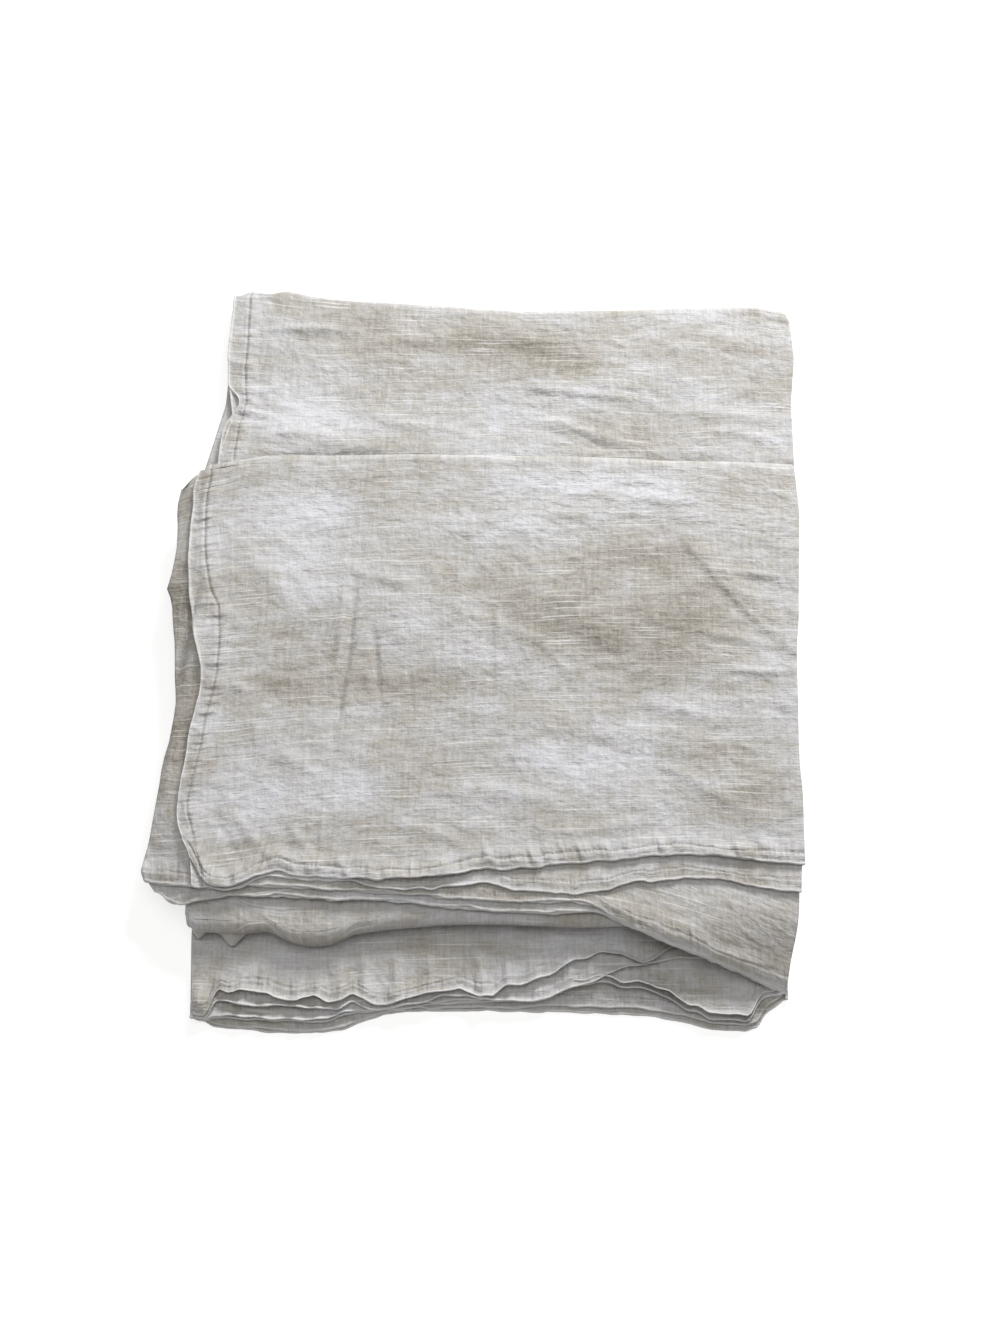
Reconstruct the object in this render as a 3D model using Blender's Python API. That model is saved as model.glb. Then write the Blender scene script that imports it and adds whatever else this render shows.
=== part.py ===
"""A linen duvet cover, loosely folded: a front and a back panel sewn together at their long sides.

The pair is folded lengthwise in thirds, which makes a Z of three double layers, and that band is then
laid crosswise back and forth in four leaves. Each panel is one sheet that follows all of these folds.
A point of a panel is found in two steps. First the thirds: its place across the width gives x and a
height n above the middle of the band. Then the leaves: its place along the length and n give y and z.
The tables measure from a point near the middle of the top leaf, and at the end the origin is put under
the middle of the whole stack.
"""

from collections import namedtuple

import bmesh
import bpy
import numpy as np

MM = 0.001

# Cloth
PLY_THICKNESS = 1.0 * MM
PLY_PITCH = 1.6 * MM
PAIR_PITCH = 2 * PLY_PITCH

# Band of three thirds: its middle line turns with this radius at each lengthwise fold
THIRD_RADIUS = PAIR_PITCH / 2
THIRD_REACH = THIRD_RADIUS + PLY_PITCH / 2 + PLY_THICKNESS / 2
THIRD_HEIGHTS = (-PAIR_PITCH, 0.0, PAIR_PITCH)
THIRD_FACINGS = (1, -1, 1)
BAND_HALF = PAIR_PITCH + PLY_PITCH / 2 + PLY_THICKNESS / 2

# Stack of four leaves
LEAF_PITCH = 11.6 * MM
LEAF_RADIUS = LEAF_PITCH / 2
LEAF_REACH = LEAF_RADIUS + BAND_HALF
LEAF_HEIGHTS = tuple(BAND_HALF + LEAF_PITCH * leaf for leaf in range(4))
LEAF_FACINGS = (1, -1, 1, -1)

# Cells round a lengthwise fold and round a crosswise one
THIRD_FOLD_CELLS = 4
LEAF_FOLD_CELLS = 5

# Lines that every layer has in common, so that the layers stay parallel
X_LINES = np.arange(-3, 4) * 75 * MM
Y_LINES = np.arange(-3, 5) * 80 * MM
SHORT_LEAF_LINES = Y_LINES[1:6]

# Crosswise folds and hems: y in millimetres at each x, a fold's column at its outermost point.
# low_1 to low_3 end the bottom leaf and top_1 to top_3 the top leaf, one for each third. strip_1 is
# where the front panel ends below top_1, the lip of the back panel. flap is how steeply the top leaf
# falls where it runs on past the fold in front, in millimetres a metre.
CrossRow = namedtuple(
    "CrossRow",
    "x far_fold front_fold back_fold low_1 low_2 low_3 top_1 strip_1 top_2 top_3 flap",
)
CROSS_ROWS = (
    CrossRow(-300, 405, -243, 200, -315, -311, -297, -178, -182, -206, -215, 0),
    CrossRow(-225, 415, -246, 214, -328, -312, -295, -205, -207, -207, -214, 0),
    CrossRow(-150, 405, -255, 216, -330, -318, -304, -202, -206, -210, -218, 0),
    CrossRow(-75, 398, -241, 217, -310, -306, -300, -200, -211, -215, -221, 0),
    CrossRow(0, 392, -238, 217, -310, -304, -296, -194, -209, -221, -230, 0),
    CrossRow(75, 391, -242, 214, -313, -297, -269, -188, -215, -222, -230, 0),
    CrossRow(150, 392, -239, 211, -319, -303, -259, -180, -203, -258, -258, 220),
    CrossRow(225, 395, -239, 210, -327, -322, -257, -184, -207, -289, -289, 380),
    CrossRow(300, 385, -237, 206, -297, -294, -262, -188, -212, -299, -299, 380),
)

# Side edges: x in millimetres at each y, one table for each leaf from the bottom up. The panels are
# sewn at seam_left and seam_right, fold_right joins thirds 1 and 2, and fold_left joins 2 and 3.
SideRow = namedtuple("SideRow", "y seam_left fold_right fold_left seam_right")
SIDE_ROWS = (
    (
        SideRow(-330, -272, 253, -273, 238),
        SideRow(-240, -276, 260, -277, 250),
        SideRow(0, -280, 275, -283, 265),
        SideRow(400, -272, 296, -277, 285),
    ),
    (
        SideRow(-240, -272, 262, -277, 250),
        SideRow(0, -277, 275, -284, 264),
        SideRow(200, -278, 292, -295, 279),
        SideRow(300, -275, 296, -280, 283),
        SideRow(400, -273, 296, -277, 284),
    ),
    (
        SideRow(-240, -273, 262, -278, 250),
        SideRow(0, -278, 275, -283, 264),
        SideRow(200, -282, 287, -288, 276),
    ),
    (
        SideRow(-300, -270, 252, -300, 238),
        SideRow(-200, -275, 268, -318, 254),
        SideRow(-160, -287, 274, -315, 260),
        SideRow(-50, -280, 275, -303, 262),
        SideRow(0, -276, 277, -304, 265),
        SideRow(80, -293, 284, -316, 271),
        SideRow(160, -295, 289, -312, 276),
        SideRow(200, -290, 288, -303, 275),
    ),
)
SIDE_NEAR = {"seam_left": -280 * MM, "fold_left": -280 * MM, "seam_right": 265 * MM, "fold_right": 270 * MM}

# The lower layer of a pair reaches this much further out than the upper one at a hem
HEM_STEP = 5 * MM

# The last line before the top leaf's end is this share of the way back to the common lines, and no
# further forward than the fold under it
LIP_SHARE = 0.25
LIP_LIMIT_Y = -243 * MM

# Uneven height of the stack: none at the floor, full from RELIEF_FULL up
RELIEF_FULL = 26 * MM
RELIEF_LONG = 2.4 * MM
RELIEF_SHORT = 1.3 * MM
RELIEF_LONG_WAVES = (0.9, 0.7)
RELIEF_SHORT_WAVES = (2.1, 1.7)
RELIEF_SPAN = 577 * MM

LINEN_ROUGHNESS = 0.9
PANELS = {
    # name: (side of the band's middle line, colour)
    "front_panel": (1, (0.56, 0.53, 0.48, 1.0)),
    "back_panel": (-1, (0.60, 0.58, 0.54, 1.0)),
}

# A place across the width. It is a common line at x, or lies inset from the side column named edge.
# Round a fold, arc_x is added. n and the normal belong to the band's middle line. share says how much
# of each third it belongs to, and way is 1 where x grows with the place and -1 where it shrinks.
Across = namedtuple("Across", "edge x inset arc_x n normal_x normal_n share way")

# A place along the length, on a leaf: a common line at y, or lies shift away from a cross column.
# turn is 1 round a fold at the back, -1 round one at the front and 0 on the flat.
Along = namedtuple("Along", "leaf column y shift turn angle")


def clear_scene():
    for item in list(bpy.data.objects):
        bpy.data.objects.remove(item, do_unlink=True)


def linen_material(name, colour):
    material = bpy.data.materials.new(name)
    material.use_nodes = True
    shader = material.node_tree.nodes["Principled BSDF"]
    shader.inputs["Base Color"].default_value = colour
    shader.inputs["Roughness"].default_value = LINEN_ROUGHNESS
    shader.inputs["Metallic"].default_value = 0.0
    return material


def table_line(rows, key, column, at):
    """A column of a table at a place, carried on straight past the table's ends."""
    known = [getattr(row, key) * MM for row in rows]
    values = [getattr(row, column) * MM for row in rows]
    if at < known[0]:
        slope = (values[1] - values[0]) / (known[1] - known[0])
        return values[0] + slope * (at - known[0])
    if at > known[-1]:
        slope = (values[-1] - values[-2]) / (known[-1] - known[-2])
        return values[-1] + slope * (at - known[-1])
    return float(np.interp(at, known, values))


def fold_angles(cells):
    """Angles inside a half turn from -90 to 90 degrees, without its two ends."""
    return np.radians(np.linspace(-90, 90, cells + 1)[1:-1])


def third_places(third, first, last):
    """The places across one third, from one edge to the other, each an (edge, inset) pair."""
    facing = THIRD_FACINGS[third]
    common = (0.0, THIRD_HEIGHTS[third], 0.0, facing, np.eye(3)[third], facing)
    inner = [Across(None, x, 0.0, *common) for x in X_LINES[::facing]]
    return [Across(first[0], None, first[1], *common), *inner, Across(last[0], None, last[1], *common)]


def fold_places(edge, inset, third, side):
    """The places round the fold after a third; side is 1 on the right and -1 on the left."""
    centre = (THIRD_HEIGHTS[third] + THIRD_HEIGHTS[third + 1]) / 2
    places = []
    for angle in fold_angles(THIRD_FOLD_CELLS):
        out_x = side * np.cos(angle)
        out_n = np.sin(angle)
        later = angle / np.pi + 0.5
        share = (1 - later) * np.eye(3)[third] + later * np.eye(3)[third + 1]
        arc_x = THIRD_RADIUS * out_x
        n = centre + THIRD_RADIUS * out_n
        places.append(Across(edge, None, inset, arc_x, n, -side * out_x, -side * out_n, share, 1))
    return places


def places_across():
    right = ("fold_right", -THIRD_REACH)
    left = ("fold_left", THIRD_REACH)
    return (
        third_places(0, ("seam_left", 0.0), right)
        + fold_places(*right, 0, 1)
        + third_places(1, right, left)
        + fold_places(*left, 1, -1)
        + third_places(2, left, ("seam_right", 0.0))
    )


def leaf_places(leaf, start, lines, end):
    """The places along one leaf, between two ends that are (column, shift) pairs."""
    inner = [Along(leaf, None, y, 0.0, 0, 0.0) for y in lines]
    return [Along(leaf, start[0], None, start[1], 0, 0.0), *inner, Along(leaf, end[0], None, end[1], 0, 0.0)]


def turn_places(leaf, fold, turn):
    """The places round the fold after a leaf."""
    return [Along(leaf, fold[0], None, fold[1], turn, angle) for angle in fold_angles(LEAF_FOLD_CELLS)]


def places_along():
    far = ("far_fold", -LEAF_REACH)
    front = ("front_fold", LEAF_REACH)
    back = ("back_fold", -LEAF_REACH)
    return (
        leaf_places(0, ("low", 0.0), Y_LINES, far)
        + turn_places(0, far, 1)
        + leaf_places(1, far, Y_LINES[:0:-1], front)
        + turn_places(1, front, -1)
        + leaf_places(2, front, SHORT_LEAF_LINES, back)
        + turn_places(2, back, 1)
        + leaf_places(3, back, SHORT_LEAF_LINES[::-1], ("lip", 0.0))
        + [Along(3, "top", None, 0.0, 0, 0.0)]
    )


def hem_line(end, x, share, panel_side):
    """Where a panel ends on the bottom leaf (low) or the top leaf (top), mixed from its thirds.

    Off the lengthwise folds the two panels part: one shows below the other.
    """
    y = sum(part * table_line(CROSS_ROWS, "x", f"{end}_{k + 1}", x) for k, part in enumerate(share))
    third = int(np.argmax(share))
    if share[third] < 1:
        return y
    if end == "low" and THIRD_FACINGS[third] * panel_side < 0:
        y -= HEM_STEP
    if end == "top" and third == 0 and panel_side > 0:
        y = table_line(CROSS_ROWS, "x", "strip_1", x)
    return y


def lip_line(end):
    return max(end + LIP_SHARE * (SHORT_LEAF_LINES[0] - end), LIP_LIMIT_Y)


def flap_fall(x, y):
    """How far the top leaf has come down in front of the fold that it lies on."""
    start = lip_line(table_line(CROSS_ROWS, "x", "top_2", x))
    return max(0.0, table_line(CROSS_ROWS, "x", "flap", x)) * max(0.0, start - y)


def line_y(along, x, share, panel_side):
    """y of a place along the length before its turn is added, at a given x."""
    if along.y is not None:
        return along.y
    if along.column == "low":
        return hem_line("low", x, share, panel_side)
    if along.column in ("lip", "top"):
        end = hem_line("top", x, share, panel_side)
        return end if along.column == "top" else lip_line(end)
    return table_line(CROSS_ROWS, "x", along.column, x) + along.shift


def wave(waves, x, y):
    turns = (waves[0] * x + waves[1] * y) / RELIEF_SPAN
    across = (waves[1] * x - waves[0] * y) / RELIEF_SPAN
    return np.sin(2 * np.pi * turns) * np.cos(2 * np.pi * across)


def relief(x, y):
    """Height that the uneven layers add at the top: a wavy table on the common lines, held at its rim."""
    grid_x, grid_y = np.meshgrid(X_LINES, Y_LINES, indexing="ij")
    table = RELIEF_LONG * wave(RELIEF_LONG_WAVES, grid_x, grid_y)
    table += RELIEF_SHORT * wave(RELIEF_SHORT_WAVES, grid_x, grid_y)
    at_y = [np.interp(y, Y_LINES, column) for column in table]
    return float(np.interp(x, X_LINES, at_y))


def laid_point(across, along, offset, panel_side):
    """The point at these two places, offset from the band's middle line along its normal."""
    near_x = across.x if across.edge is None else SIDE_NEAR[across.edge]
    near_y = line_y(along, near_x, across.share, panel_side)
    base_x = across.x
    if across.edge is not None:
        base_x = table_line(SIDE_ROWS[along.leaf], "y", across.edge, near_y) + across.inset
    x = base_x + across.arc_x + offset * across.normal_x
    n = across.n + offset * across.normal_n
    y = line_y(along, base_x, across.share, panel_side)
    z = LEAF_HEIGHTS[along.leaf] + LEAF_FACINGS[along.leaf] * n
    if along.turn:
        radius = LEAF_RADIUS - along.turn * n
        y += along.turn * radius * np.cos(along.angle)
        z = LEAF_HEIGHTS[along.leaf] + LEAF_RADIUS + radius * np.sin(along.angle)
    if along.leaf == 3:
        z -= flap_fall(base_x, y)
    z += relief(x, y) * min(1.0, z / RELIEF_FULL)
    return (x, y, z)


def cell_triangles(first, cells_across, cells_along, upward):
    """Two triangles a cell, cut along the same diagonal of the table whichever way a layer runs."""
    faces = []
    rows = cells_along + 1
    for i in range(cells_across):
        for j in range(cells_along):
            a = first + i * rows + j
            b, c, d = a + rows, a + rows + 1, a + 1
            faces += [(a, b, c), (a, c, d)] if upward[i][j] else [(a, b, d), (b, c, d)]
    return faces


def rim_triangles(loop, other_side):
    faces = []
    for k, a in enumerate(loop):
        b = loop[(k + 1) % len(loop)]
        faces += [(a, b, b + other_side), (a, b + other_side, a + other_side)]
    return faces


def panel_points(across, along, panel_side):
    """Both faces of a panel, one after the other."""
    points = []
    for face_side in (1, -1):
        offset = panel_side * PLY_PITCH / 2 + face_side * PLY_THICKNESS / 2
        points += [laid_point(a, b, offset, panel_side) for a in across for b in along]
    return np.array(points)


def panel_faces(across, along):
    cells_across, cells_along = len(across) - 1, len(along) - 1
    upward = [[a.way * LEAF_FACINGS[b.leaf] > 0 for b in along[:-1]] for a in across[:-1]]
    other_side = len(across) * len(along)
    faces = cell_triangles(0, cells_across, cells_along, upward)
    faces += cell_triangles(other_side, cells_across, cells_along, upward)
    rows = len(along)
    loop = [i * rows for i in range(cells_across)]
    loop += [cells_across * rows + j for j in range(cells_along)]
    loop += [i * rows + cells_along for i in range(cells_across, 0, -1)]
    loop += [j for j in range(cells_along, 0, -1)]
    return faces + rim_triangles(loop, other_side)


def build_panel(name, colour, points, faces):
    mesh = bpy.data.meshes.new(name)
    mesh.from_pydata(points.tolist(), [], faces)
    shape = bmesh.new()
    shape.from_mesh(mesh)
    bmesh.ops.recalc_face_normals(shape, faces=shape.faces)
    shape.to_mesh(mesh)
    shape.free()
    mesh.shade_smooth()
    mesh.materials.append(linen_material(name + "_linen", colour))
    panel = bpy.data.objects.new(name, mesh)
    bpy.context.scene.collection.objects.link(panel)
    return panel


def main():
    clear_scene()
    across = places_across()
    along = places_along()
    faces = panel_faces(across, along)
    points = {name: panel_points(across, along, side) for name, (side, _) in PANELS.items()}
    every_point = np.concatenate(list(points.values()))
    middle = (every_point.min(axis=0) + every_point.max(axis=0)) / 2
    middle[2] = 0.0
    for name, (_, colour) in PANELS.items():
        build_panel(name, colour, points[name] - middle, faces)


main()
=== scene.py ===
"""A washed slub-linen duvet cover, loosely folded on a pale floor.

A front and a back panel are folded lengthwise in thirds and then crosswise in four leaves. Each third of a
panel is one thin sheet, a grid of places on two faces. A place across the band gives x and a height n above
the band's middle line, and a place along the band gives y and, with n, z. Lines are traced in millimetres
from a point near the middle of the top leaf, and SHIFT moves them into the frame.
"""

import logging
import math
from dataclasses import dataclass, replace
from enum import Enum

import bpy
import numpy as np
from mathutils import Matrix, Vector


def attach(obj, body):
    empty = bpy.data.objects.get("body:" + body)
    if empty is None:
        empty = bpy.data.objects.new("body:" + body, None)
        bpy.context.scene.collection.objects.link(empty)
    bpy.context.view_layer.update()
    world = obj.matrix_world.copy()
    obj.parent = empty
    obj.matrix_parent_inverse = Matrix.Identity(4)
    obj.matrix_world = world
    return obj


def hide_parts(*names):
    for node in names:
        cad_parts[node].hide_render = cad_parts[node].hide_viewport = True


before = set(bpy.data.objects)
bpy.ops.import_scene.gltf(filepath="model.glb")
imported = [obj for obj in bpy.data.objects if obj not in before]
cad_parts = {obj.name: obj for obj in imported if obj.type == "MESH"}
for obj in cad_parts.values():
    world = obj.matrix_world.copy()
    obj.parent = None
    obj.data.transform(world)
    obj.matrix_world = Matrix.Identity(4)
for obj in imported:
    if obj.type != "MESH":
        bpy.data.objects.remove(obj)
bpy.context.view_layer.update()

MM = 0.001
SHIFT = np.array([10.9, -39.75, 0.0]) * MM
logging.basicConfig(level=logging.INFO, format="%(message)s")
log = logging.getLogger("cover")

Pairs = tuple[tuple[float, float], ...]
Places = tuple[np.ndarray, np.ndarray, np.ndarray]
Tree = bpy.types.NodeTree
Socket = bpy.types.NodeSocket


class Side(Enum):
    """Which side of the band's middle line a panel lies on."""

    FRONT = 1
    BACK = -1


class Part(Enum):
    """Which part of a third's length a sheet covers."""

    WHOLE = "whole"
    TOP = "top"
    UNDER = "under"


class End(Enum):
    """The free end on the bottom leaf or the one on the top leaf."""

    LOW = "low"
    TOP = "top"


# Stack, as the solids have it
PLY_PITCH = 1.6 * MM
PAIR_PITCH = 2 * PLY_PITCH
THIRD_RADIUS = PAIR_PITCH / 2
THIRD_REACH = 2.9 * MM
THIRD_HEIGHTS = (-PAIR_PITCH, 0.0, PAIR_PITCH)
THIRD_FACINGS = (1, -1, 1)
LEAF_PITCH = 11.6 * MM
LEAF_RADIUS = LEAF_PITCH / 2
LEAF_REACH = 10.3 * MM
LEAF_HEIGHTS = (4.5 * MM, 16.1 * MM, 27.7 * MM, 39.3 * MM)
LEAF_FACINGS = (1, -1, 1, -1)
BAND_WIDTH = 0.577

# Cloth: thickness, hems with their rolled ends, and the sewn edge
CLOTH = 0.75 * MM
HEM = 1.25 * MM
HEM_WIDTH = 12 * MM
BEAD = 2.1 * MM
BEAD_REACH = 3.2 * MM
THINNEST = 0.03
SEAM_WIDTH = 16 * MM
SEAM_RISE = 3.2 * MM
GROOVE = 0.9 * MM
GROOVE_WIDTH = 1.6 * MM
LOWEST = 1 * MM

# Places on a sheet, in millimetres: from the sewn edge in, from its stitches on, and from a free end in
EDGE_PLACES = (0, 0.15, 0.4, 0.8, 1.4, 2.4, 3.6, 6, 9, 12, 14.4, 15.3)
STITCH_PLACES = (0.0, 0.4, 1.2, 2.5, 5.0, 8.5)
END_PLACES = (0, 0.15, 0.4, 0.8, 1.3, 2.1, 3.2, 4.6, 6.2, 8.2, 10.4, 12, 13.6, 16, 19)
END_STEP = 6 * MM
FIRST_EVEN = 21 * MM
FOLD_CELLS = 12
CLOSE_CELLS = 6

# Rough length of the bottom and the top leaf, how far their close rows go, and how near an end its lips are
LOW_RUN = 0.70
TOP_RUN = 0.40
LOW_CLOSE = 85 * MM
TOP_CLOSE = 95 * MM
NEAR_END = 0.10

# Share of the second leaf that shows behind the top one, and that its raised sewn edge takes
BLOCK_SHARE = 0.315
SEAM_SHARE = 0.34

# Rough x of the left, stitch and right lines in millimetres, from which each place's x is worked out
ROUGH_LINES_FIRST = (-280, -264, 270)
ROUGH_LINES = (-280, -264, 266)

# How much less uneven the hems are on the bottom leaf
LOW_WAVE = 0.6

# Where the folded side starts to sink on the left, how steeply, and how far out it goes on sinking
OVERHANG_START = 4 * MM
OVERHANG_SLOPE = 0.24
OVERHANG_MOST = 32 * MM

# Mean y of the far, front and back fold, and the ease in millimetres with which the weft follows them
FOLD_MEANS = np.array([385, -232, 202]) * MM
WEFT_EASE = 50.0
WEFT_REACH = 40 * MM

# Distances from the frame's middle to the cloth's zero: sewn edge, third's fold and lower free end
EDGE_U = 280 * MM
FOLD_U = 297 * MM
END_V = 330 * MM

# Flap: slope at x in millimetres, and where it starts to fall
FLAP_SLOPES = ((70, 0.0), (120, 0.18), (170, 0.34), (230, 0.42))
FLAP_START = -243 * MM
FLAP_EASE = 9 * MM

# Broad unevenness, as the solids have it
RELIEF_FULL = 26 * MM
RELIEF_SPAN = 0.577


def smooth(edge0: float, edge1: float, at: np.ndarray) -> np.ndarray:
    """Eased step: 0 before edge0, 1 after edge1, and 3t^2 - 2t^3 between them."""
    t = np.clip((at - edge0) / (edge1 - edge0), 0.0, 1.0)
    return t * t * (3 - 2 * t)


class Noise:
    """Smooth random values from -1 to 1 on a lattice that repeats every 64 cells."""

    def __init__(self, seed: int) -> None:
        """Fills the lattice."""
        self.table = np.random.default_rng(seed).uniform(-1, 1, (64, 64))

    def at(self, x: np.ndarray, y: np.ndarray, cell_x: float, cell_y: float | None = None) -> np.ndarray:
        """Values of the noise.

        Args:
            x, y: places in metres.
            cell_x, cell_y: size of a lattice cell in metres, the same both ways if cell_y is left out.

        Returns:
            The lattice's corners mixed by the quintic fade 6t^5 - 15t^4 + 10t^3 each way.
        """
        u, v = x / cell_x, y / (cell_y or cell_x)
        i, j = np.floor(u).astype(int), np.floor(v).astype(int)
        fu, fv = u - i, v - j
        fu = fu * fu * fu * (fu * (6 * fu - 15) + 10)
        fv = fv * fv * fv * (fv * (6 * fv - 15) + 10)
        low = self.table[i % 64, j % 64] * (1 - fu) + self.table[(i + 1) % 64, j % 64] * fu
        high = self.table[i % 64, (j + 1) % 64] * (1 - fu) + self.table[(i + 1) % 64, (j + 1) % 64] * fu
        return low * (1 - fv) + high * fv


@dataclass(frozen=True)
class Line:
    """A traced line: pairs of place and value in millimetres, and how far its corners are eased."""

    points: Pairs
    ease: float = 4.0

    def at(self, place: np.ndarray) -> np.ndarray:
        """The line's value, held at its ends.

        Args:
            place: places in metres.

        Returns:
            Values in metres, each the mean of five readings from one ease before to one ease after.
        """
        known = sorted(self.points)
        places = np.array([p[0] for p in known]) * MM
        values = np.array([p[1] for p in known]) * MM
        steps = np.linspace(-1, 1, 5) * self.ease * MM
        return np.mean([np.interp(place + step, places, values) for step in steps], axis=0)


# Crosswise folds at their outermost and hems: (x, y) in millimetres
FAR_FOLD = Line((
    (-275, 411), (-252, 415), (-224, 415), (-190, 408), (-120, 402), (-73, 398), (-21, 394), (30, 391),
    (123, 391), (189, 394), (229, 395), (264, 395), (287, 391), (296, 386), (301, 372),
))
BACK_FOLD = Line((
    (-314, 178), (-306, 189), (-296, 200), (-279, 204), (-259, 207), (-228, 213), (-202, 215), (-80, 216),
    (-20, 217), (36, 214), (122, 212), (155, 210), (250, 208), (288, 207),
))
FRONT_FOLD = Line((
    (-282, -226), (-279, -236), (-272, -245), (-250, -246), (-231, -247), (-204, -245), (-193, -251),
    (-183, -255), (-172, -256), (-151, -255), (-138, -251), (-128, -247), (-105, -244), (-84, -242),
    (-47, -239), (0, -239), (74, -242), (113, -240), (300, -238),
))
BACK_LIP = Line((
    (-290, -170), (-275, -180), (-262, -202), (-255, -208), (-239, -210), (-227, -207), (-215, -200),
    (-204, -195), (-195, -194), (-187, -198), (-177, -200), (-151, -202), (-104, -202), (-63, -200),
    (-34, -197), (-24, -194), (0, -194), (27, -192), (42, -191), (74, -188), (105, -185), (132, -182),
    (154, -180), (193, -181), (219, -184), (251, -187), (268, -188),
))
FRONT_LIP = Line((
    (-290, -204), (-272, -208), (-262, -211), (-255, -210), (-240, -212), (-225, -208), (-204, -199),
    (-150, -204), (-132, -203), (-104, -209), (-76, -212), (-52, -209), (-34, -209), (-10, -206), (8, -211),
    (34, -215), (49, -216), (76, -215), (93, -212), (118, -206), (159, -202), (198, -202), (218, -206),
    (239, -210), (264, -213),
))
TOP_SECOND = Line((
    (-320, -199), (-312, -203), (-302, -206), (-276, -208), (-253, -210), (-226, -206), (-204, -208),
    (-150, -211), (-75, -215), (0, -221), (60, -222), (75, -223), (84, -226), (93, -232), (112, -241),
    (131, -250), (159, -261), (167, -264), (192, -273), (211, -281), (230, -289), (255, -298), (262, -299),
))
TOP_THIRD = Line((
    (-303, -212), (-297, -219), (-289, -222), (-278, -223), (-269, -222), (-257, -219), (-249, -217),
    (-228, -215), (-204, -215), (-150, -219), (-104, -219), (-63, -223), (-34, -226), (0, -230), (60, -231),
    (84, -231), (93, -233), (112, -240), (131, -249), (159, -260), (192, -272), (230, -288), (255, -297),
    (262, -298),
))
LOW_THIRD = Line((
    (-276, -310), (-270, -316), (-262, -318), (-257, -315), (-253, -302), (-249, -294), (-240, -298),
    (-230, -295), (-205, -297), (-192, -303), (-178, -304), (-172, -301), (-163, -300), (-154, -305),
    (-140, -304), (-130, -298), (-120, -303), (-112, -307), (-101, -308), (-86, -303), (-60, -297),
    (-35, -293), (-18, -301), (-6, -301), (5, -291), (19, -291), (35, -284), (44, -282), (55, -275),
    (66, -269), (77, -269), (89, -262), (108, -263), (118, -269), (127, -272), (136, -269), (153, -257),
    (225, -257), (300, -262),
), 2.0)
LOW_THIRD_UNDER = Line((
    (-276, -312), (-270, -318), (-262, -320), (-256, -317), (-252, -305), (-248, -303), (-231, -307),
    (-192, -309), (-157, -311), (-141, -311), (-130, -304), (-118, -311), (-108, -312), (-94, -310),
    (-66, -305), (-52, -299), (0, -304), (29, -305), (47, -300), (64, -293), (83, -289), (92, -283),
    (108, -276), (160, -266), (300, -267),
), 2.0)
LOW_SECOND = Line((
    (-276, -313), (-268, -320), (-260, -322), (-252, -319), (-240, -318), (-225, -320), (-214, -319),
    (-200, -322), (-186, -321), (-170, -323), (-150, -321), (-138, -316), (-100, -312), (-50, -306),
    (0, -304), (45, -301), (66, -291), (78, -291), (86, -288), (97, -288), (107, -293), (122, -292),
    (138, -298), (149, -301), (165, -313), (174, -313), (183, -320), (197, -320), (210, -321), (217, -323),
    (222, -318), (226, -309), (234, -301), (260, -296),
), 2.0)
LOW_FIRST = Line((
    (-276, -312), (-270, -318), (-262, -320), (-254, -325), (-241, -327), (-203, -330), (-180, -331),
    (-156, -331), (-138, -328), (-125, -323), (-115, -319), (-105, -315), (-94, -314), (-81, -312),
    (0, -312), (47, -313), (113, -315), (138, -317), (160, -321), (187, -328), (218, -329), (229, -325),
    (232, -318), (236, -313), (246, -307), (259, -297), (300, -296),
), 2.0)

# Side edges of the leaves: (y, x) in millimetres
LEFT_BOTTOM = Line((
    (-330, -274), (-315, -275), (-305, -273), (-297, -270), (-284, -272), (-261, -275), (-240, -277),
    (0, -280), (400, -272),
))
LEFT_SECOND = Line((
    (-240, -272), (0, -277), (214, -278), (246, -276), (258, -272), (267, -266), (280, -260), (290, -265),
    (298, -274), (337, -276), (374, -274), (405, -273),
))
LEFT_THIRD = Line(((-240, -273), (0, -278), (200, -282)))
LEFT_TOP = Line((
    (-300, -268), (-213, -270), (-187, -273), (-178, -275), (-169, -281), (-154, -287), (-141, -289),
    (-115, -287), (-89, -284), (-71, -283), (-54, -280), (-34, -276), (-10, -275), (7, -279), (25, -284),
    (37, -287), (68, -292), (102, -295), (136, -295), (155, -294), (174, -295), (186, -291), (199, -288),
))
STITCH_SECOND = Line((
    (-240, -256), (216, -263), (251, -261), (280, -255), (319, -258), (356, -257), (407, -257),
))
STITCH_TOP = Line((
    (-300, -254), (-200, -262), (-169, -272), (-138, -281), (-126, -280), (-100, -275), (-80, -272),
    (-56, -270), (-16, -262), (7, -261), (25, -261), (54, -263), (70, -272), (104, -279), (129, -281),
    (161, -282), (180, -280), (198, -278),
))
FOLD_LEFT_BOTTOM = Line((
    (-330, -272), (-240, -277), (0, -283), (213, -295), (239, -288), (269, -280), (295, -276), (400, -276),
))
FOLD_LEFT_SECOND = Line((
    (-240, -277), (0, -284), (200, -293), (213, -293), (239, -286), (269, -278), (295, -275), (400, -276),
))
FOLD_LEFT_THIRD = Line(((-240, -278), (0, -283), (200, -288)))
FOLD_LEFT_TOP = Line((
    (-300, -300), (-213, -308), (-204, -315), (-195, -320), (-189, -320), (-165, -315), (-140, -312),
    (-114, -309), (-94, -308), (-75, -303), (-55, -301), (-38, -300), (-15, -303), (21, -305), (39, -308),
    (62, -310), (70, -313), (78, -318), (86, -313), (107, -310), (113, -309), (139, -310), (152, -312),
    (173, -312), (190, -306), (200, -300),
), 3.0)
FOLD_RIGHT_BOTTOM = Line(((-330, 253), (-240, 260), (0, 275), (400, 296)))
FOLD_RIGHT_SECOND = Line((
    (-240, 262), (0, 275), (216, 292), (281, 293), (331, 299), (364, 298), (382, 296), (400, 294),
))
FOLD_RIGHT_THIRD = Line(((-240, 262), (0, 275), (200, 287)))
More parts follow.
